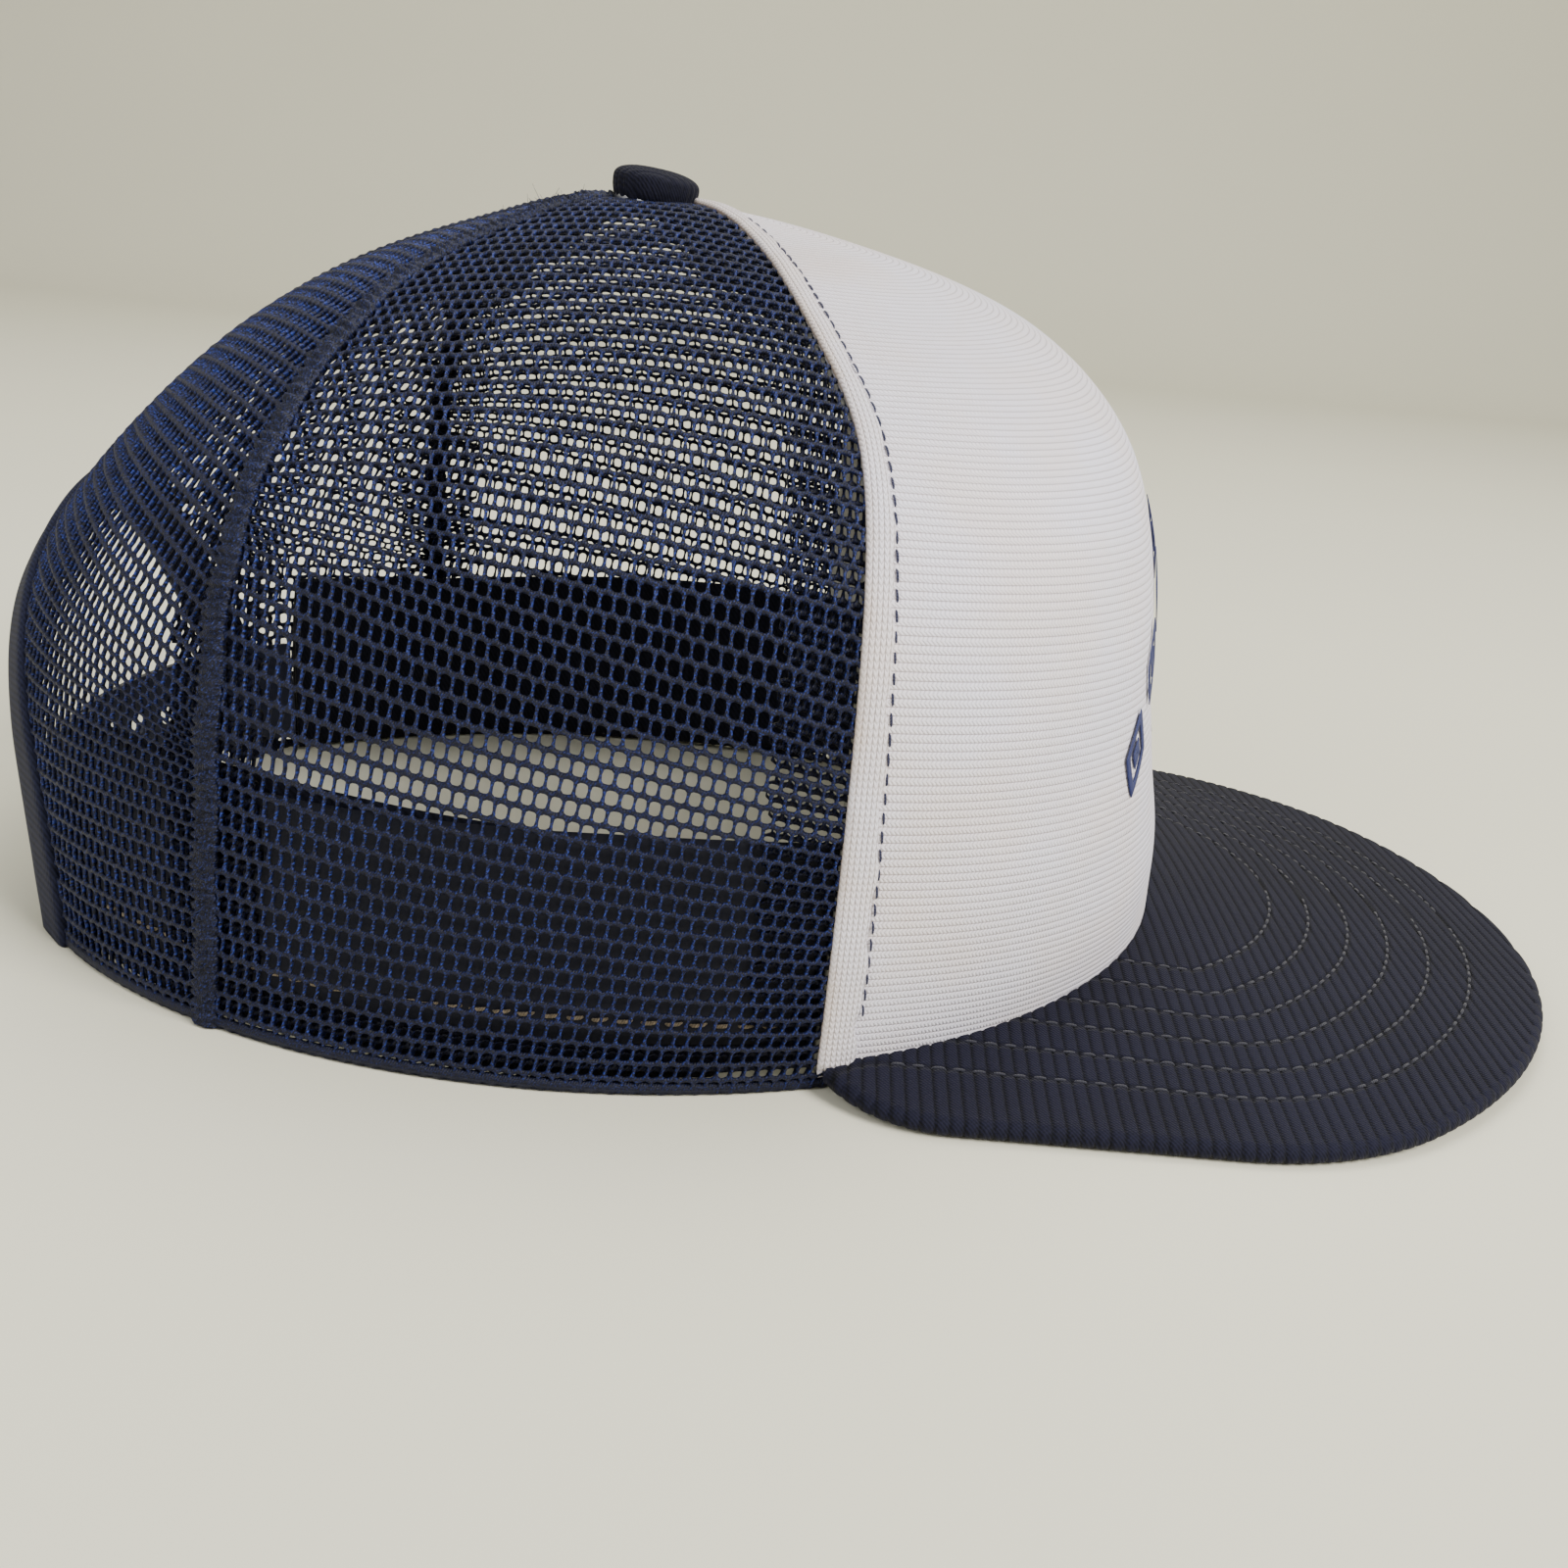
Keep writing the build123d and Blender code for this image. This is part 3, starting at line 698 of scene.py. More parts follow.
def stripPiece(side, word):
    foot = seamAngle(frontSeam, np.array([0.03]))
    footPoint = crownPoint(foot, np.array([0.03]))[0]
    s0 = levelOf(visorTop(footPoint[0] + 4 * mm, footPoint[1]) - 0.6 * mm)
    s = np.linspace(s0, strip["topLevel"], strip["steps"])
    t = np.linspace(0, 1, strip["across"])
    width = stripWidth(s) * (1 + 0.06 * np.sin(s * 71) + 0.04 * np.sin(s * 163 + 1))
    shift = width[:, None] * t[None, :]
    angle = seamAngle(frontSeam, np.repeat(s[:, None], len(t), 1), shift - strip["overSeam"])
    place, out = crownFrame(angle, s[:, None] + 0 * t)
    rise = strip["bulge"] * (1 - np.abs(2 * t - 1) ** 3.2) ** 0.7
    crowned = rise[None, :] * (1 + 0.16 * ripple(place, 9 * mm, 5))
    rings = raisedRings(place, out, crowned - 0.05, strip["thickness"])
    run = runAlong(place[:, 9]) / mm
    # stain along the seam side; the last term makes it darker and browner towards the top
    stain = 0.22 + 0.55 * np.clip(1 - t * 2.2, 0, 1)[None, :] * (0.6 + 0.6 * ripple(place, 17 * mm, 8)) \
        + 0.25 * np.clip((place[..., 2] / mm - 85) / 30, 0, 1)
    stain = np.clip(np.concatenate([stain, stain[:, ::-1]], 1), 0, 1)
    piece = bandPiece(f"edge_strip_{word}", rings, ringMap(shift / mm, run), {"stain": stain}, side)
    dress(piece, "strip", "edge_cloth", f"front_edge_strip_{word}")


# stitches
def dashes(name, path, out, stitch, material, slot, node):
    # short rounded threads laid along one or more paths, each end dipping into the cloth
    length, pitch, radius, slant = (stitch[key] for key in ("length", "pitch", "radius", "slant"))
    allPoints, allFaces, allUv, base = [], [], [], 0
    for points, normals in zip(path, out):
        run = runAlong(points)
        count = int((run[-1] - length) / pitch)
        if count < 1:
            continue
        t = np.linspace(0, 1, 7)
        at = np.arange(count)[:, None] * pitch + t[None, :] * length
        p = np.stack([np.interp(at, run, points[:, i]) for i in range(3)], -1)
        n = unit(np.stack([np.interp(at, run, normals[:, i]) for i in range(3)], -1))
        along = unit(np.gradient(p, axis=1))
        sideways = np.cross(n, along)
        arc = np.sqrt(np.clip(1 - np.abs(2 * t - 1) ** 2.4, 0, 1))
        dip = (arc - 1) * radius * 1.5 - stitch.get("sink", 0.0)
        p = p + n * dip[None, :, None] + sideways * ((t - 0.5) * slant)[None, :, None]
        thick = radius * (0.45 + 0.55 * arc)[None, :, None, None]
        turn = np.arange(6) * math.pi / 3
        ring = p[:, :, None] + thick * (n[:, :, None] * np.sin(turn)[:, None] * 0.8
                                        + sideways[:, :, None] * np.cos(turn)[:, None])
        one = gridFaces(7, 6, closeColumns=True)
        ends = np.array([[0, 1, 2, 3], [0, 3, 4, 5]])
        one = np.concatenate([one, ends[:, ::-1], ends + 36])
        faces = (one[None] + (np.arange(count) * 42)[:, None, None]).reshape(-1, 4) + base
        uv = np.stack([np.broadcast_to(at[:, :, None] / mm, ring.shape[:3]),
                       np.broadcast_to(turn * radius / mm, ring.shape[:3])], -1)
        allPoints.append(ring.reshape(-1, 3))
        allFaces.append(faces)
        allUv.append(uv.reshape(-1, 2))
        base += count * 42
    piece = meshPiece(name, np.concatenate(allPoints), np.concatenate(allFaces), np.concatenate(allUv))
    dress(piece, material, slot, node)


def bothSides(points, normals):
    return [points, mirrored(points)], [normals, mirrored(normals)]


topstitch = dict(low=0.07, high=0.965, beside=0.1 * mm, lift=0.14 * mm, length=2.0 * mm, pitch=2.7 * mm,
                 radius=0.19 * mm, slant=0.15 * mm)


def topstitching():
    s = np.linspace(topstitch["low"], topstitch["high"], 500)
    angle = seamAngle(frontSeam, s, stripWidth(s) + topstitch["beside"])
    place, out = crownFrame(angle, s)
    paths, normals = bothSides(place + out * topstitch["lift"], out)
    dashes("topstitch", paths, normals, topstitch, "navyThread", "navy_thread", "front_topstitching")


# front panel
front = dict(across=200, rise=180, cloth=0.8 * mm, backing=0.95 * mm, start=0.35 * mm, top=0.988)


def frontGrid(columns, rows, depth):
    # the panel between its two seams, from the visor's curve up to the button
    u = np.linspace(-1, 1, columns)
    bottom = np.full(columns, 0.02)
    for _ in range(4):
        angle = u * seamAngle(frontSeam, bottom)
        p = crownPoint(angle, bottom)
        bottom = levelOf(visorHeight(p[:, 0], p[:, 1]) + front["start"])
    v = np.linspace(0, 1, rows)[:, None]
    s = bottom[None, :] + (front["top"] - bottom[None, :]) * v
    angle = u[None, :] * seamAngle(frontSeam, s)
    place, out = crownFrame(angle, s)
    return place - out * depth, out, angle, s


def frontWeave(place):
    # rows count the distance up each column from the rim plane, and stitches the distance from the middle
    rise = np.cumsum(np.linalg.norm(np.diff(place, axis=0), axis=2), 0)
    row = np.concatenate([np.zeros((1, place.shape[1])), rise]) + place[:1, :, 2]
    run = np.cumsum(np.linalg.norm(np.diff(place, axis=1), axis=2), 1)
    run = np.concatenate([np.zeros((len(place), 1)), run], 1)
    run -= run[:, run.shape[1] // 2][:, None]
    return np.stack([run, row], -1) / mm


def frontPanel():
    place, out, angle, s = frontGrid(front["across"], front["rise"], 0.0)
    uv = frontWeave(place)
    z = place[..., 2] / mm
    edge = np.abs(angle) / np.maximum(seamAngle(frontSeam, s), 1e-6)
    # stain near the seams; the last term makes the cloth darker and browner towards the top
    worn = 0.10 + 0.35 * np.clip((edge - 0.55) / 0.45, 0, 1) * (0.6 + 0.7 * ripple(place, 21 * mm, 3)) \
        + 0.4 * np.clip((z - 88) / 30, 0, 1)
    soft = place + out * (0.35 * ripple(place, 26 * mm, 4) - 0.2)[..., None] * mm
    piece = meshPiece("front_cloth", soft, gridFaces(*place.shape[:2]), uv,
                      {"stain": np.clip(worn, 0, 1)})
    thicken(piece, front["cloth"] * 0.9, -1)
    dress(piece, "front", "front_cloth", "front_panel")
    inner, _, _, _ = frontGrid(90, 80, front["cloth"] + front["backing"] * 0.5)
    foam = meshPiece("front_foam", inner, gridFaces(*inner.shape[:2]))
    thicken(foam, front["backing"] * 1.8, -1)
    dress(foam, "foam", "front_foam", "front_backing")


# printed emblem: an arch of outlined lozenges over three chevrons
# Shares are the inner and outer edge of each ring of a lozenge. A chevron is its foot, half width and bar
# in millimetres.
emblem = dict(reach=51 * mm, foot=46 * mm, rise=33 * mm, count=11, lift=0.2 * mm, thickness=0.14 * mm,
              halfWide=4.1 * mm, halfTall=6.4 * mm, shear=0.30, pinch=1.8, shares=((0.66, 1.0), (0.02, 0.36)),
              chevrons=((34.0, 15.0, 3.6), (41.0, 20.0, 4.2), (49.0, 13.0, 3.6)), peak=6.5)


def emblemPiece():
    points, faces, base = [], [], 0

    def add(y, z):
        nonlocal base
        place, out = wallPoint(y, z, 1)
        points.append((place + out * emblem["lift"]).reshape(-1, 3))
        faces.append(gridFaces(*y.shape, start=base))
        base += y.size
    turn = np.linspace(0, 2 * math.pi, 49)[:, None]
    c, q = np.cos(turn), np.sin(turn)
    lozengeY = np.sign(c) * np.abs(c) ** emblem["pinch"]
    lozengeZ = np.sign(q) * np.abs(q) ** emblem["pinch"]
    for y in np.linspace(-1, 1, emblem["count"]):
        height = emblem["foot"] + emblem["rise"] * (1 - y * y)
        for low, high in emblem["shares"]:
            share = np.linspace(low, high, 4)[None, :]
            rise = lozengeZ * share * emblem["halfTall"]
            wide = lozengeY * share * emblem["halfWide"]
            add(y * emblem["reach"] + wide + rise * emblem["shear"], height + rise)
    across = np.linspace(-1, 1, 81)[:, None]
    for foot, half, thick in emblem["chevrons"]:
        rise = foot + (1 - np.abs(across)) * emblem["peak"] + np.linspace(0, thick, 6)[None, :]
        add(across * half * mm + 0 * rise, rise * mm)
    piece = meshPiece("emblem", np.concatenate(points), np.concatenate(faces))
    thicken(piece, emblem["thickness"], 0)
    dress(piece, "ink", "emblem_print", "front_emblem")


# rear-side seams: a raised overlocked edge with loose fibres
ridge = dict(half=2.1 * mm, rise=0.95, steps=620, topLevel=0.955, depth=0.7 * mm, floor=0.35 * mm)
fuzz = dict(fibres=260, thread=0.055 * mm, spread=1.3 * mm, shortest=0.8, longest=2.3, floor=0.3 * mm)


def ridgePiece(side, word):
    s = np.linspace(0.0, ridge["topLevel"], ridge["steps"])
    t = np.linspace(-1, 1, 13)
    loop = np.sin(np.arange(len(s)) * 1.15)
    wander = 0.25 * mm * np.sin(s * 60) + 0.15 * mm * loop
    shift = t[None, :] * (ridge["half"] * (1 + 0.14 * loop))[:, None] + wander[:, None]
    angle = seamAngle(rearSeam, np.repeat(s[:, None], len(t), 1), -shift)
    place, out = crownFrame(angle, s[:, None] + 0 * t)
    noise = np.random.default_rng(31).normal(size=place.shape[:2]).clip(-2, 2)
    lump = np.repeat(np.random.default_rng(5).uniform(0.55, 1.15, len(s) // 4 + 1), 4)[:len(s), None]
    rise = ridge["rise"] * (1 - np.abs(t) ** 2.6)[None, :] * (0.8 + 0.2 * loop[:, None]) * lump + noise * 0.14
    rings = raisedRings(place, out, rise, ridge["depth"])
    rings[..., 2] = np.maximum(rings[..., 2], ridge["floor"])
    run = runAlong(place[:, 6]) / mm
    # random painted glint along the ridge yarn
    lift = np.clip(0.35 + 0.35 * np.concatenate([noise, noise[:, ::-1]], 1), 0, 1)
    piece = bandPiece(f"side_ridge_{word}", rings, ringMap(shift / mm, run), {"upright": lift}, side)
    dress(piece, "ridge", "seam_ridge", f"rear_seam_ridge_{word}")


def fuzzPiece(side, word):
    # loose fibres: each a thin tapered spike along a slightly curled line
    source = np.random.default_rng(47 + side)
    count = fuzz["fibres"]
    at = source.uniform(0.02, 0.90, count)
    root, normal = crownFrame(seamAngle(rearSeam, at, source.uniform(-1, 1, count) * fuzz["spread"]), at)
    lean = unit(normal * 0.8 + source.normal(size=(count, 3)) * 0.7)
    curl = source.normal(size=(count, 3)) * 0.5
    reach = source.uniform(fuzz["shortest"], fuzz["longest"], count) * mm
    u = np.linspace(0, 1, 6)
    arrow = (lean[:, None] * u[:, None] + curl[:, None] * (u ** 2)[:, None]) * reach[:, None, None]
    line = root[:, None] + normal[:, None] * 0.5 * mm + arrow
    taper = (fuzz["thread"] * (1 - 0.6 * u))[:, None]
    wide = unit(np.cross(lean, curl))[:, None] * taper
    high = unit(np.cross(wide, lean[:, None])) * taper
    ring = np.stack([line + wide, line + high, line - wide, line - high], 2)
    one = gridFaces(6, 4, closeColumns=True)
    one = np.concatenate([one, [[3, 2, 1, 0]], [[20, 21, 22, 23]]])
    faces = (one[None] + (np.arange(count) * 24)[:, None, None]).reshape(-1, 4)
    points = ring.reshape(-1, 3)
    points[:, 2] = np.maximum(points[:, 2], fuzz["floor"])
    if side < 0:
        points = mirrored(points)
    flat = np.stack([np.tile(np.repeat(u, 4), count), np.zeros(24 * count)], -1)
    # the loose fibres carry a strong painted glint
    piece = meshPiece(f"side_fuzz_{word}", points, faces, flat, {"upright": np.full(len(points), 0.8)},
                      flip=side < 0)
    dress(piece, "ridge", "seam_ridge", f"rear_seam_ridge_{word}")


for side, word in ((-1, "right"), (1, "left")):
    stripPiece(side, word)
    ridgePiece(side, word)
    fuzzPiece(side, word)
topstitching()
frontPanel()
emblemPiece()
print("front panel, strips and ridges made")


# rim, back seam and rear opening
rim = dict(steps=420, around=10, halfThick=0.62, halfTall=0.95, centre=1.06, wave=0.10)
backRidge = dict(steps=300, half=1.1 * mm, rise=0.55, depth=0.5 * mm, aboveArch=6 * mm, top=117 * mm)


def rimCord():
    # folded lower edge of the net, from the front seam round to the rear opening
    foot = seamAngle(frontSeam, np.array([0.0]))[0]
    s0 = levelOf(0.0)
    back = math.pi - math.asin(arch["halfWidth"] / crown["rimHalfWidth"])
    steps, around = rim["steps"], rim["around"]
    angle = np.linspace(foot - 0.02, back, steps)
    place, out = crownFrame(angle, np.full_like(angle, s0))
    turn = np.arange(around) * 2 * math.pi / around
    wave = rim["wave"] * np.sin(np.arange(steps) * 0.9)
    radial = (np.cos(turn) - 1) * rim["halfThick"]
    tall = np.sin(turn)[None, :] * (rim["halfTall"] + wave[:, None])
    flatOut = unit(out * np.array([1, 1, 0]))
    rings = place[:, None] + flatOut[:, None] * radial[:, None] * mm
    rings[..., 2] = (tall + rim["centre"]) * mm
    run = runAlong(place) / mm
    uv = np.stack([np.repeat(run[:, None], around, 1), np.broadcast_to(turn, (steps, around))], -1)
    for side, word in ((-1, "right"), (1, "left")):
        # a little painted glint on the folded rim
        piece = bandPiece(f"rim_fold_{word}", rings, uv, {"upright": np.full(rings.shape[:2], 0.25)}, side)
        dress(piece, "fold", "rim_fold", "rim_hem")


def backSeam():
    steps, half = backRidge["steps"], backRidge["half"]
    z = np.linspace(arch["height"] + backRidge["aboveArch"], backRidge["top"], steps)
    s = np.linspace(levelOf(z[0]), 0.97, steps)
    t = np.linspace(-1, 1, 9)
    turn = math.pi - t[None, :] * (half / np.maximum(widthAt(s), 5 * mm))[:, None]
    place, out = crownFrame(turn, s[:, None] + 0 * t)
    lump = 0.8 + 0.2 * np.sin(np.arange(steps) * 1.3)
    rise = backRidge["rise"] * (1 - np.abs(t) ** 2.5)[None, :] * lump[:, None]
    rings = raisedRings(place, out, rise, backRidge["depth"])
    uv = ringMap(np.broadcast_to(t * half / mm, place.shape[:2]), z / mm)
    # some painted glint on the back ridge
    piece = bandPiece("back_ridge", rings, uv, {"upright": np.full(rings.shape[:2], 0.35)})
    dress(piece, "ridge", "seam_ridge", "back_seam_tape")


def openingBinding():
    # cloth tape folded over the edge of the rear opening
    profile = np.array([(0.0, -0.1), (0.25, -0.5), (0.9, -0.72), (2.6, -0.72), (4.4, -0.66), (6.2, -0.70),
                        (7.3, -0.68), (7.85, -0.45), (8.0, -0.05), (8.0, 1.2), (7.85, 1.6), (7.3, 1.85),
                        (6.2, 1.95), (4.4, 1.9), (2.6, 1.95), (0.9, 1.95), (0.25, 1.75), (0.0, 1.3)])
    turn = np.linspace(0.0, math.pi, 260)[:, None]
    grow = profile[:, 0][None, :] * mm
    y = (arch["halfWidth"] + grow) * np.cos(turn)
    z = np.maximum((arch["height"] + grow) * np.sin(turn), 0)
    place, out = wallPoint(y, z, -1)
    wave = 1 + 0.10 * ripple(place, 12 * mm, 21)
    rings = place - out * (profile[:, 1][None, :] * wave)[..., None] * mm
    rings[..., 2] = np.maximum(rings[..., 2], 0.15 * mm)
    run = turn * 52
    uv = np.stack([np.broadcast_to(run, y.shape), np.broadcast_to(grow / mm, y.shape)], -1)
    dress(bandPiece("opening_binding", rings, uv), "binding", "opening_binding", "arch_binding")


# sweatband, its lining and the stitching that holds it
band = dict(top=38 * mm, floorGap=0.8 * mm, depth=3.05, thickness=1.3, tabEnd=54 * mm,
            liningFoot=7 * mm, liningTop=37.4 * mm, liningOuter=2.25, liningInner=2.9)
rimStitch = dict(height=10.5 * mm, depth=1.95 * mm, length=2.5 * mm, pitch=3.4 * mm, radius=0.32 * mm,
                 slant=0.3 * mm)
strapStitch = dict(rows=(44.7 * mm, 48.7 * mm), low=6 * mm, high=22.2 * mm, depth=4.12 * mm,
                   length=2.2 * mm, pitch=3.0 * mm, radius=0.22 * mm, slant=0.0)


def bandRings(low, high, zLow, zTop, outer, inner, count=360, seed=0):
    # a soft band round the inside between two angles, rounded along both long edges
    angle = np.linspace(low, high, count)[:, None]
    middle, half = (outer + inner) / 2, (inner - outer) / 2
    edge = np.array([0, 0.08, 0.25, 0.5, 0.75, 0.92, 1.0])
    share = np.concatenate([edge, edge[::-1]])
    bow = np.sqrt(np.clip(1 - np.abs(2 * edge - 1) ** 6, 0.04, 1))
    depth = np.concatenate([middle - half * bow, (middle + half * bow)[::-1]])
    base = zLow(angle) if callable(zLow) else zLow + 0 * angle
    z = base + (zTop + 0.9 * mm * np.sin(angle * 5 + seed) * (zTop > 30 * mm) - base) * share[None, :]
    place, out = crownFrame(angle + 0 * z, levelOf(z))
    rings = place - out * (depth[None, :] + 0.12 * ripple(place, 19 * mm, 60 + seed))[..., None] * mm
    run = runAlong(place[:, 3]) / mm
    uv = np.stack([np.repeat(run[:, None], 14, 1), z / mm], -1)
    return rings, uv


def sweatbandPieces():
    back = math.pi - math.asin(band["tabEnd"] / (crown["rimHalfWidth"] - 3 * mm))

    def lowEdge(angle):
        p = crownPoint(angle, np.full_like(angle, 0.05))
        return np.where(p[..., 0] > 30 * mm, np.maximum(visorHeight(p[..., 0], p[..., 1]) + 0.3 * mm,
                                                        band["floorGap"]), band["floorGap"])
    rings, uv = bandRings(-back, back, lowEdge, band["top"], band["depth"],
                          band["depth"] + band["thickness"], 520)
    dress(bandPiece("sweat_band", rings, uv), "band", "sweatband_cloth", "sweatband")
    foot = float(seamAngle(frontSeam, np.array([0.1]))[0])
    for side, word in ((-1, "right"), (1, "left")):
        rings, uv = bandRings(foot + 0.02, back, band["liningFoot"], band["liningTop"],
                              band["liningOuter"], band["liningInner"], 240, 1)
        dress(bandPiece(f"band_lining_{word}", rings, uv, None, side), "lining", "lining_cloth",
              "sweatband_lining")
    angle = np.linspace(foot + 0.03, back - 0.02, 600)
    place, out = crownFrame(angle, levelOf(rimStitch["height"] + 0.3 * mm * np.sin(angle * 9)))
    paths, normals = bothSides(place - out * rimStitch["depth"], out)
    dashes("rim_stitch", paths, normals, rimStitch, "tanThread", "tan_thread", "rim_stitching")


def strapStitching():
    paths, normals = [], []
    z = np.linspace(strapStitch["low"], strapStitch["high"], 40)
    for y in strapStitch["rows"]:
        for side in (-1, 1):
            place, out = wallPoint(np.full(40, side * y), z, -1)
            paths.append(place - out * strapStitch["depth"])
            normals.append(-out)
    dashes("strap_stitch", paths, normals, strapStitch, "tanThread", "tan_thread", "strap_stitching")


rimCord()
backSeam()
openingBinding()
sweatbandPieces()
strapStitching()
print("rim, opening and sweatband made")


# visor
ribs = dict(pitch=2.0 * mm, depth=0.34 * mm, samples=8, edgeStep=0.26 * mm, temple=0.408)
quilting = dict(first=12 * mm, spacing=6.8 * mm, count=6, clearance=1.0 * mm,
                length=2.3 * mm, pitch=2.9 * mm, radius=0.25 * mm, sink=0.02 * mm, slant=0.0)


def ribDrop(x):
    # a wide rounded ridge and a narrow groove in each pitch
    return ribs["depth"] * (1 - np.abs(np.sin(np.pi * x / ribs["pitch"]))) ** 2.4


def outlineXY(inset, tails=True, count=240):
    # half of the visor's edge from its tip to the temple, moved inwards by the inset
    w, big, small, tip = visor["halfWidth"], visor["frontRadius"], visor["cornerRadius"], visor["tip"]
    centre, corner = tip - big, w - small
    reach = big - small
    cornerX = centre + math.sqrt(reach ** 2 - corner ** 2)
    turn = math.asin(corner / reach)
    a = np.linspace(0, turn, count)
    b = np.linspace(turn, math.pi / 2, count)
    x = np.concatenate([centre + (big - inset) * np.cos(a), cornerX + (small - inset) * np.cos(b)])
    y = np.concatenate([(big - inset) * np.sin(a), corner + (small - inset) * np.sin(b)])
    if tails:
        temple = ribs["temple"] * crown["rimFront"]
        drop = w - crown["rimHalfWidth"] * math.sqrt(1 - ribs["temple"] ** 2) - 2 * mm
        radius = (visor["tail"] ** 2 + drop ** 2) / (2 * drop)
        c = np.linspace(0, math.asin(visor["tail"] / radius), 60)
        x = np.append(x, temple + visor["tail"] - (radius - inset) * np.sin(c))
        y = np.append(y, w - radius + (radius - inset) * np.cos(c))
    else:
        x, y = np.append(x, 50 * mm), np.append(y, w - inset)
    return x, y


def crownHalf(x, z):
    # half width of the crown at a distance forward and a height
    s = levelOf(z)
    power = roundness(z)
    share = np.clip((x - widestAt(s)) / (frontAt(s) - widestAt(s)), 0, 1)
    return widthAt(s) * np.clip(1 - share ** power, 0, 1) ** (1 / power)


def visorSheet(xs, lift, inset, columns):
    # half of the sheet: lines of constant x from the crown or the middle out to the edge
    ox, oy = outlineXY(inset)
    outer = np.interp(xs, ox[::-1], oy[::-1])
    inner = np.zeros_like(xs)
    for _ in range(4):
        inner = crownHalf(xs, visorHeight(xs, inner) + lift)
    inner = np.clip(inner - 0.35 * mm, 0, outer)
    t = np.linspace(0, 1, columns)[None, :]
    y = inner[:, None] + (outer - inner)[:, None] * t
    x = np.repeat(xs[:, None], columns, 1)
    return np.stack([x, y, visorHeight(x, y) + lift], -1)


def edgeGap(p):
    # distance in plan to the edge, its straight sides run on past the temples
    ox, oy = outlineXY(0.0, tails=False)
    run = runAlong(np.stack([ox, oy], -1))
    at = np.arange(0, run[-1], 0.6 * mm)
    ox, oy = np.interp(at, run, ox), np.interp(at, run, oy)
    return np.sqrt(((p[:, None, 0] - ox) ** 2 + (np.abs(p[:, None, 1]) - oy) ** 2).min(1))


def facedQuads(grid, direction):
    # quads of the grid, turned to face along the direction, which may change from row to row
    quads = gridFaces(*grid.shape[:2])
    a, b, d = (grid.reshape(-1, 3)[quads[:, i]] for i in (0, 1, 3))
    toward = np.broadcast_to(direction, (len(grid), 3))[quads[:, 0] // grid.shape[1]]
    wrong = (np.cross(b - a, d - a) * toward).sum() < 0
    return quads[:, ::-1] if wrong else quads


def bothHalves(points, faces):
    # the sheet and its mirror image, whose faces are turned round
    return np.concatenate([points, mirrored(points)]), np.concatenate([faces, faces[:, ::-1] + len(points)])


def visorEdge():
    # the edge turns down and under in a half circle across the visor's thickness
    rounding = visor["edgeRadius"]
    ox, oy = outlineXY(0.0)
    run = runAlong(np.stack([ox, oy], -1))
    at = np.arange(0, run[-1], ribs["edgeStep"])
    ix, iy = (np.interp(at, run, line) for line in outlineXY(rounding))
    ox, oy = np.interp(at, run, ox), np.interp(at, run, oy)
    outward = np.stack([ox - ix, oy - iy, 0 * ox], -1) / rounding
    curl = np.linspace(0, math.pi, 11)
    radius = rounding - ribDrop(ix)[:, None] * 0.8
    across = radius * np.sin(curl)[None, :]
    ex = ix[:, None] + outward[:, :1] * across
    ey = iy[:, None] + outward[:, 1:2] * across
    ez = visorHeight(ix, iy)[:, None] + rounding + radius * np.cos(curl)[None, :]
    return np.stack([ex, ey, ez], -1), outward


def visorTopPiece(xs):
    top = visorSheet(xs, visor["thickness"], visor["edgeRadius"], 42)
    top[..., 2] -= ribDrop(top[..., 0])
    edge, outward = visorEdge()
    half = np.concatenate([top.reshape(-1, 3), edge.reshape(-1, 3)])
    quads = np.concatenate([facedQuads(top, (0, 0, 1)), facedQuads(edge, outward) + top.size // 3])
    points, faces = bothHalves(half, quads)
    # rib and inset steer the painted shade in the rib grooves and along the quilting rows
    values = {"rib": 1 - ribDrop(points[:, 0]) / ribs["depth"], "inset": np.tile(edgeGap(half) / mm, 2)}
    piece = meshPiece("visor_top", points, faces, points[:, :2] / mm, values)
    dress(piece, "visor", "visor_cloth", "visor_cover")


def visorUnderPiece(xs):
    # a thin closed sheet: the ribbed underside, a plain inner face and the wall round both
    under = visorSheet(xs, 0.0, visor["edgeRadius"] * 0.9, 30)
    under[..., 2] += ribDrop(under[..., 0]) * 0.6 + 0.02 * mm
    inner = visorSheet(xs, 0.55 * mm, visor["edgeRadius"] * 0.9, 30)
    quads = facedQuads(under, (0, 0, -1))
    rows, columns = under.shape[:2]
    n = rows * columns
    loop = np.concatenate([np.arange(columns), np.arange(1, rows) * columns + columns - 1,
                           (rows - 1) * columns + np.arange(columns - 2, -1, -1),
                           np.arange(rows - 2, 0, -1) * columns])
    wall = np.stack([loop, np.roll(loop, -1), np.roll(loop, -1) + n, loop + n], -1)
    shell = np.concatenate([under.reshape(-1, 3), inner.reshape(-1, 3)])
    points, faces = bothHalves(shell, np.concatenate([quads, quads[:, ::-1] + n, wall]))
    # rib steers the painted shade in the underside's rib grooves
    values = {"rib": 1 - ribDrop(points[:, 0]) / ribs["depth"], "inset": np.full(len(points), 3.0)}
    piece = meshPiece("visor_under", points, faces, points[:, :2] / mm, values)
    dress(piece, "visor", "visor_cloth", "visor_underside")


def visorPieces():
    step = ribs["pitch"] / ribs["samples"]
    start = math.ceil((ribs["temple"] * crown["rimFront"] + 0.3 * mm) / step) * step
    tipX = visor["tip"] - visor["edgeRadius"]
    xs = np.append(np.arange(start, tipX - 0.2 * step, step), tipX - 0.01 * mm)
    visorTopPiece(xs)
    visorUnderPiece(xs[::2])


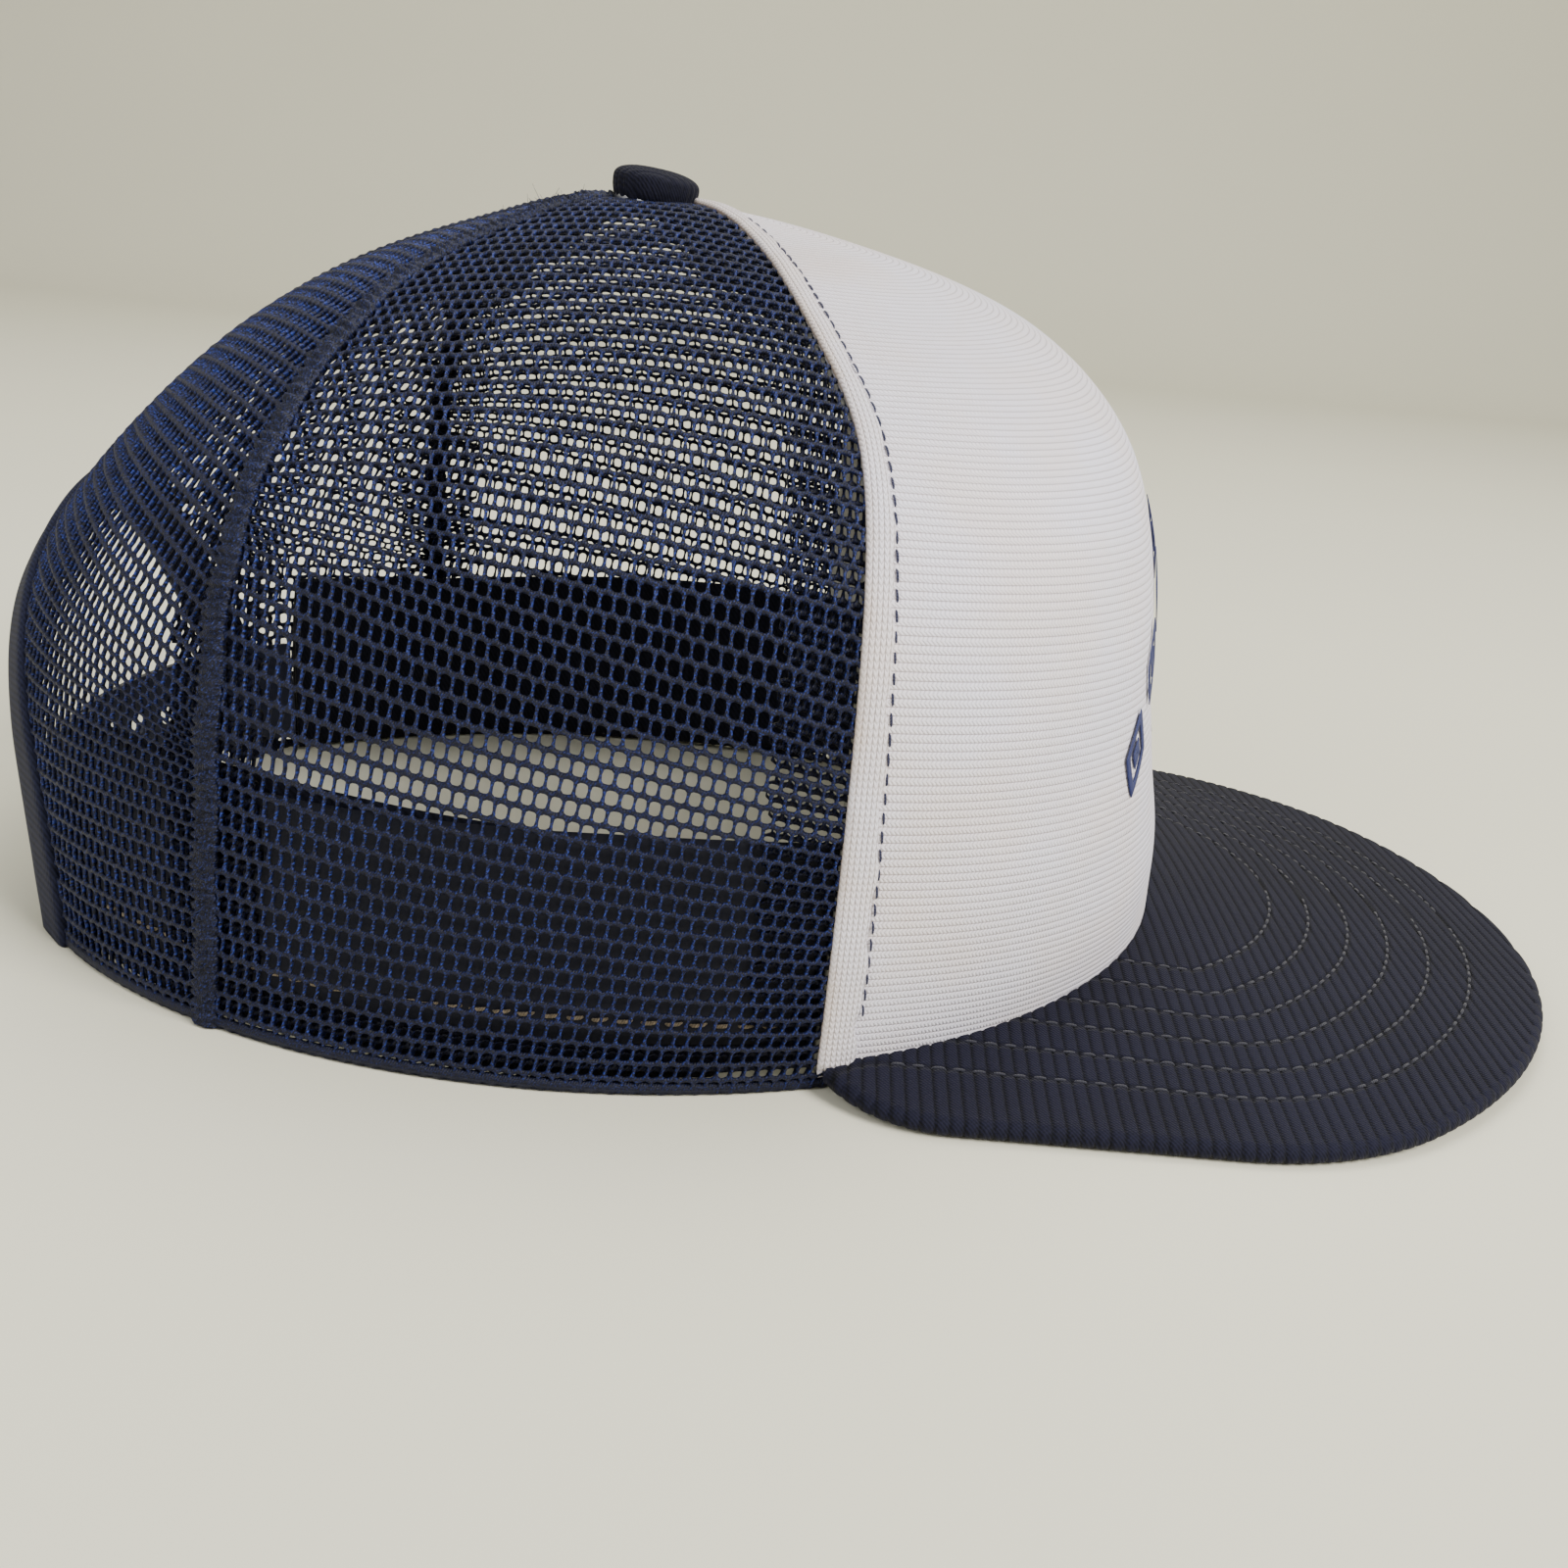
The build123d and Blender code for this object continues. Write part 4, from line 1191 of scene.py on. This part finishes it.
def visorStitching():
    paths, normals = [], []
    for row in range(quilting["count"]):
        x, y = outlineXY(quilting["first"] + row * quilting["spacing"], tails=False)
        x, y = np.concatenate([x[::-1], x[1:]]), np.concatenate([-y[::-1], y[1:]])
        run = runAlong(np.stack([x, y], -1))
        at = np.arange(0, run[-1], 0.35 * mm)
        x, y = np.interp(at, run, x), np.interp(at, run, y)
        clear = np.abs(y) > crownHalf(x, visorTop(x, y)) + quilting["clearance"]
        clear &= (x > crown["rimFront"]) | (np.abs(y) > quilting["clearance"])
        for part in np.split(np.arange(len(x)), np.nonzero(np.diff(clear.astype(int)))[0] + 1):
            if clear[part[0]] and len(part) > 20:
                px, py = x[part], y[part]
                d = 0.4 * mm
                slopeX = (visorTop(px + d, py) - visorTop(px - d, py)) / (2 * d)
                slopeY = (visorTop(px, py + d) - visorTop(px, py - d)) / (2 * d)
                paths.append(np.stack([px, py, visorTop(px, py)], -1))
                normals.append(unit(np.stack([-slopeX, -slopeY, 1 + 0 * px], -1)))
    dashes("visor_stitch", paths, normals, quilting, "visorThread", "visor_thread", "visor_stitching")


visorPieces()
visorStitching()
print("visor made")


# button
button = dict(radius=7.15 * mm, height=5.6 * mm, tilt=math.radians(7), ribPitch=1.25 * mm, ribDepth=0.22 * mm,
              place=(0.2 * mm, 0, -0.2 * mm))


def buttonPiece():
    radius, height = button["radius"], button["height"]
    t = np.linspace(0, 1, 60)[:, None]
    turn = np.linspace(0, 2 * math.pi, 180, endpoint=False)[None, :]
    # a flattened bun: superellipse from the crown point of the top round to the underside
    arc = t * (math.pi * 0.62)
    r = radius * np.sin(np.minimum(arc, math.pi / 2)) ** 0.8 * np.where(arc > math.pi / 2,
                                                                       np.sin(arc) ** 1.4, 1)
    z = height * 0.55 + height * 0.45 * np.sign(np.cos(arc)) * np.abs(np.cos(arc)) ** 0.75
    z = np.where(arc > math.pi / 2, height * 0.55 + height * 1.45 * np.cos(arc), z)
    x, y = r * np.cos(turn), r * np.sin(turn)
    rib = np.abs(np.sin(np.pi * y / button["ribPitch"])) ** 0.7
    out = unit(np.stack([x / radius, y / radius, (z - height * 0.5) / height + 0 * x], -1))
    p = np.stack([x, y, z + 0 * x], -1) + out * ((rib - 1) * button["ribDepth"])[..., None]
    turned = Matrix.Rotation(button["tilt"], 3, "Y")
    p = p @ np.array(turned).T + np.array([buttonX, 0, crown["height"]]) + np.array(button["place"])
    faces = gridFaces(60, 180, closeColumns=True)
    flip = not outwardFacing(p.reshape(-1, 3) - p.reshape(-1, 3).mean(0), faces)
    piece = meshPiece("button_top", p, faces, np.stack([x, y], -1) / mm,
                      {"rib": rib, "inset": np.full(rib.shape, 3.0)}, flip)
    dress(piece, "button", "button_cloth", "button_cover")


buttonPiece()
for name, key in (("button_core", "metal"), ("button_rivet", "metal"), ("button_washer", "metal"),
                  ("visor_board", "board"), ("hole_strap", "strap"), ("post_strap", "strap"),
                  ("hole_strap_tab", "strap"), ("post_strap_tab", "strap")):
    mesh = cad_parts[name].data
    mesh.materials.clear()
    mesh.materials.append(look[key])
print("button and carried parts made")


# floor, wall, light and camera
backdrop = dict(near=-3.0, wall=1.9, bend=0.5, top=4.0, half=4.0)
lamps = dict(key=((0.95, -0.75, 1.0), (0.0, 0, 0.05), 0.8, 34, (1.0, 0.985, 0.95)),
             fill=((-0.9, -0.8, 0.8), (0, 0, 0.05), 1.0, 9, (0.95, 0.97, 1.0)),
             top=((0.1, 0.5, 1.6), (0.02, 0.1, 0.0), 1.2, 16, (1.0, 1.0, 0.97)))
sky = dict(color=(0.97, 0.96, 0.89, 1), strength=0.55)
view = dict(place=(0.029, -0.290, 0.1152), heading=0.65, down=18.25, roll=5.16, lens=38.25, sensor=36)


def stagePieces():
    # a floor that sweeps up into a wall well behind the object
    t = np.linspace(0, math.pi / 2, 24)
    bend, wallY = backdrop["bend"], backdrop["wall"]
    y = np.concatenate([[backdrop["near"]], wallY - bend + bend * np.sin(t), [wallY]])
    z = np.concatenate([[0.0], bend - bend * np.cos(t), [backdrop["top"]]])
    x = np.array([-backdrop["half"], backdrop["half"]])
    points = np.stack(np.broadcast_arrays(x[None, :], y[:, None], z[:, None]), -1)
    points = points.reshape(-1, 3)
    mesh = bpy.data.meshes.new("backdrop")
    mesh.from_pydata(points.tolist(), [], gridFaces(len(y), 2).tolist())
    mesh.polygons.foreach_set("use_smooth", np.ones(len(y) - 1, bool))
    floor = linked("backdrop", mesh)
    shade = Shade("backdropPaper", Specular_IOR_Level=0.1)
    tone = shade.noise(shade.place(), 0.004, 2.0)
    mesh.materials.append(shade.finish(shade.mix(tone, (0.70, 0.675, 0.545), (0.735, 0.71, 0.575)), 0.9))


def areaLight(name, place, aim, size, power, color):
    data = bpy.data.lights.new(name, "AREA")
    data.shape, data.size, data.energy, data.color = "DISK", size, power, color
    lamp = linked(name, data)
    place, aim = np.array(place), np.array(aim)
    back = unit(place - aim)
    right = unit(np.cross([0, 0, 1.0], back))
    up = np.cross(back, right)
    matrix = np.eye(4)
    matrix[:3, 0], matrix[:3, 1], matrix[:3, 2], matrix[:3, 3] = right, up, back, place
    lamp.matrix_world = Matrix(matrix.tolist())


def aimCamera():
    # looking along the heading, measured from +Y towards +X, then down, and turned about that line
    heading, down, roll = (math.radians(view[key]) for key in ("heading", "down", "roll"))
    camera = linked("camera", bpy.data.cameras.new("camera"))
    camera.data.lens, camera.data.sensor_width = view["lens"], view["sensor"]
    camera.data.clip_start = 0.01
    turned = (Matrix.Rotation(-heading, 4, "Z") @ Matrix.Rotation(math.pi / 2 - down, 4, "X")
              @ Matrix.Rotation(roll, 4, "Z"))
    camera.matrix_world = Matrix.Translation(view["place"]) @ turned
    bpy.context.scene.camera = camera


stagePieces()
for name, settings in lamps.items():
    areaLight(name, *settings)
world = bpy.data.worlds.new("pale")
world.use_nodes = True
world.node_tree.nodes["Background"].inputs[0].default_value = sky["color"]
world.node_tree.nodes["Background"].inputs[1].default_value = sky["strength"]
bpy.context.scene.world = world
aimCamera()
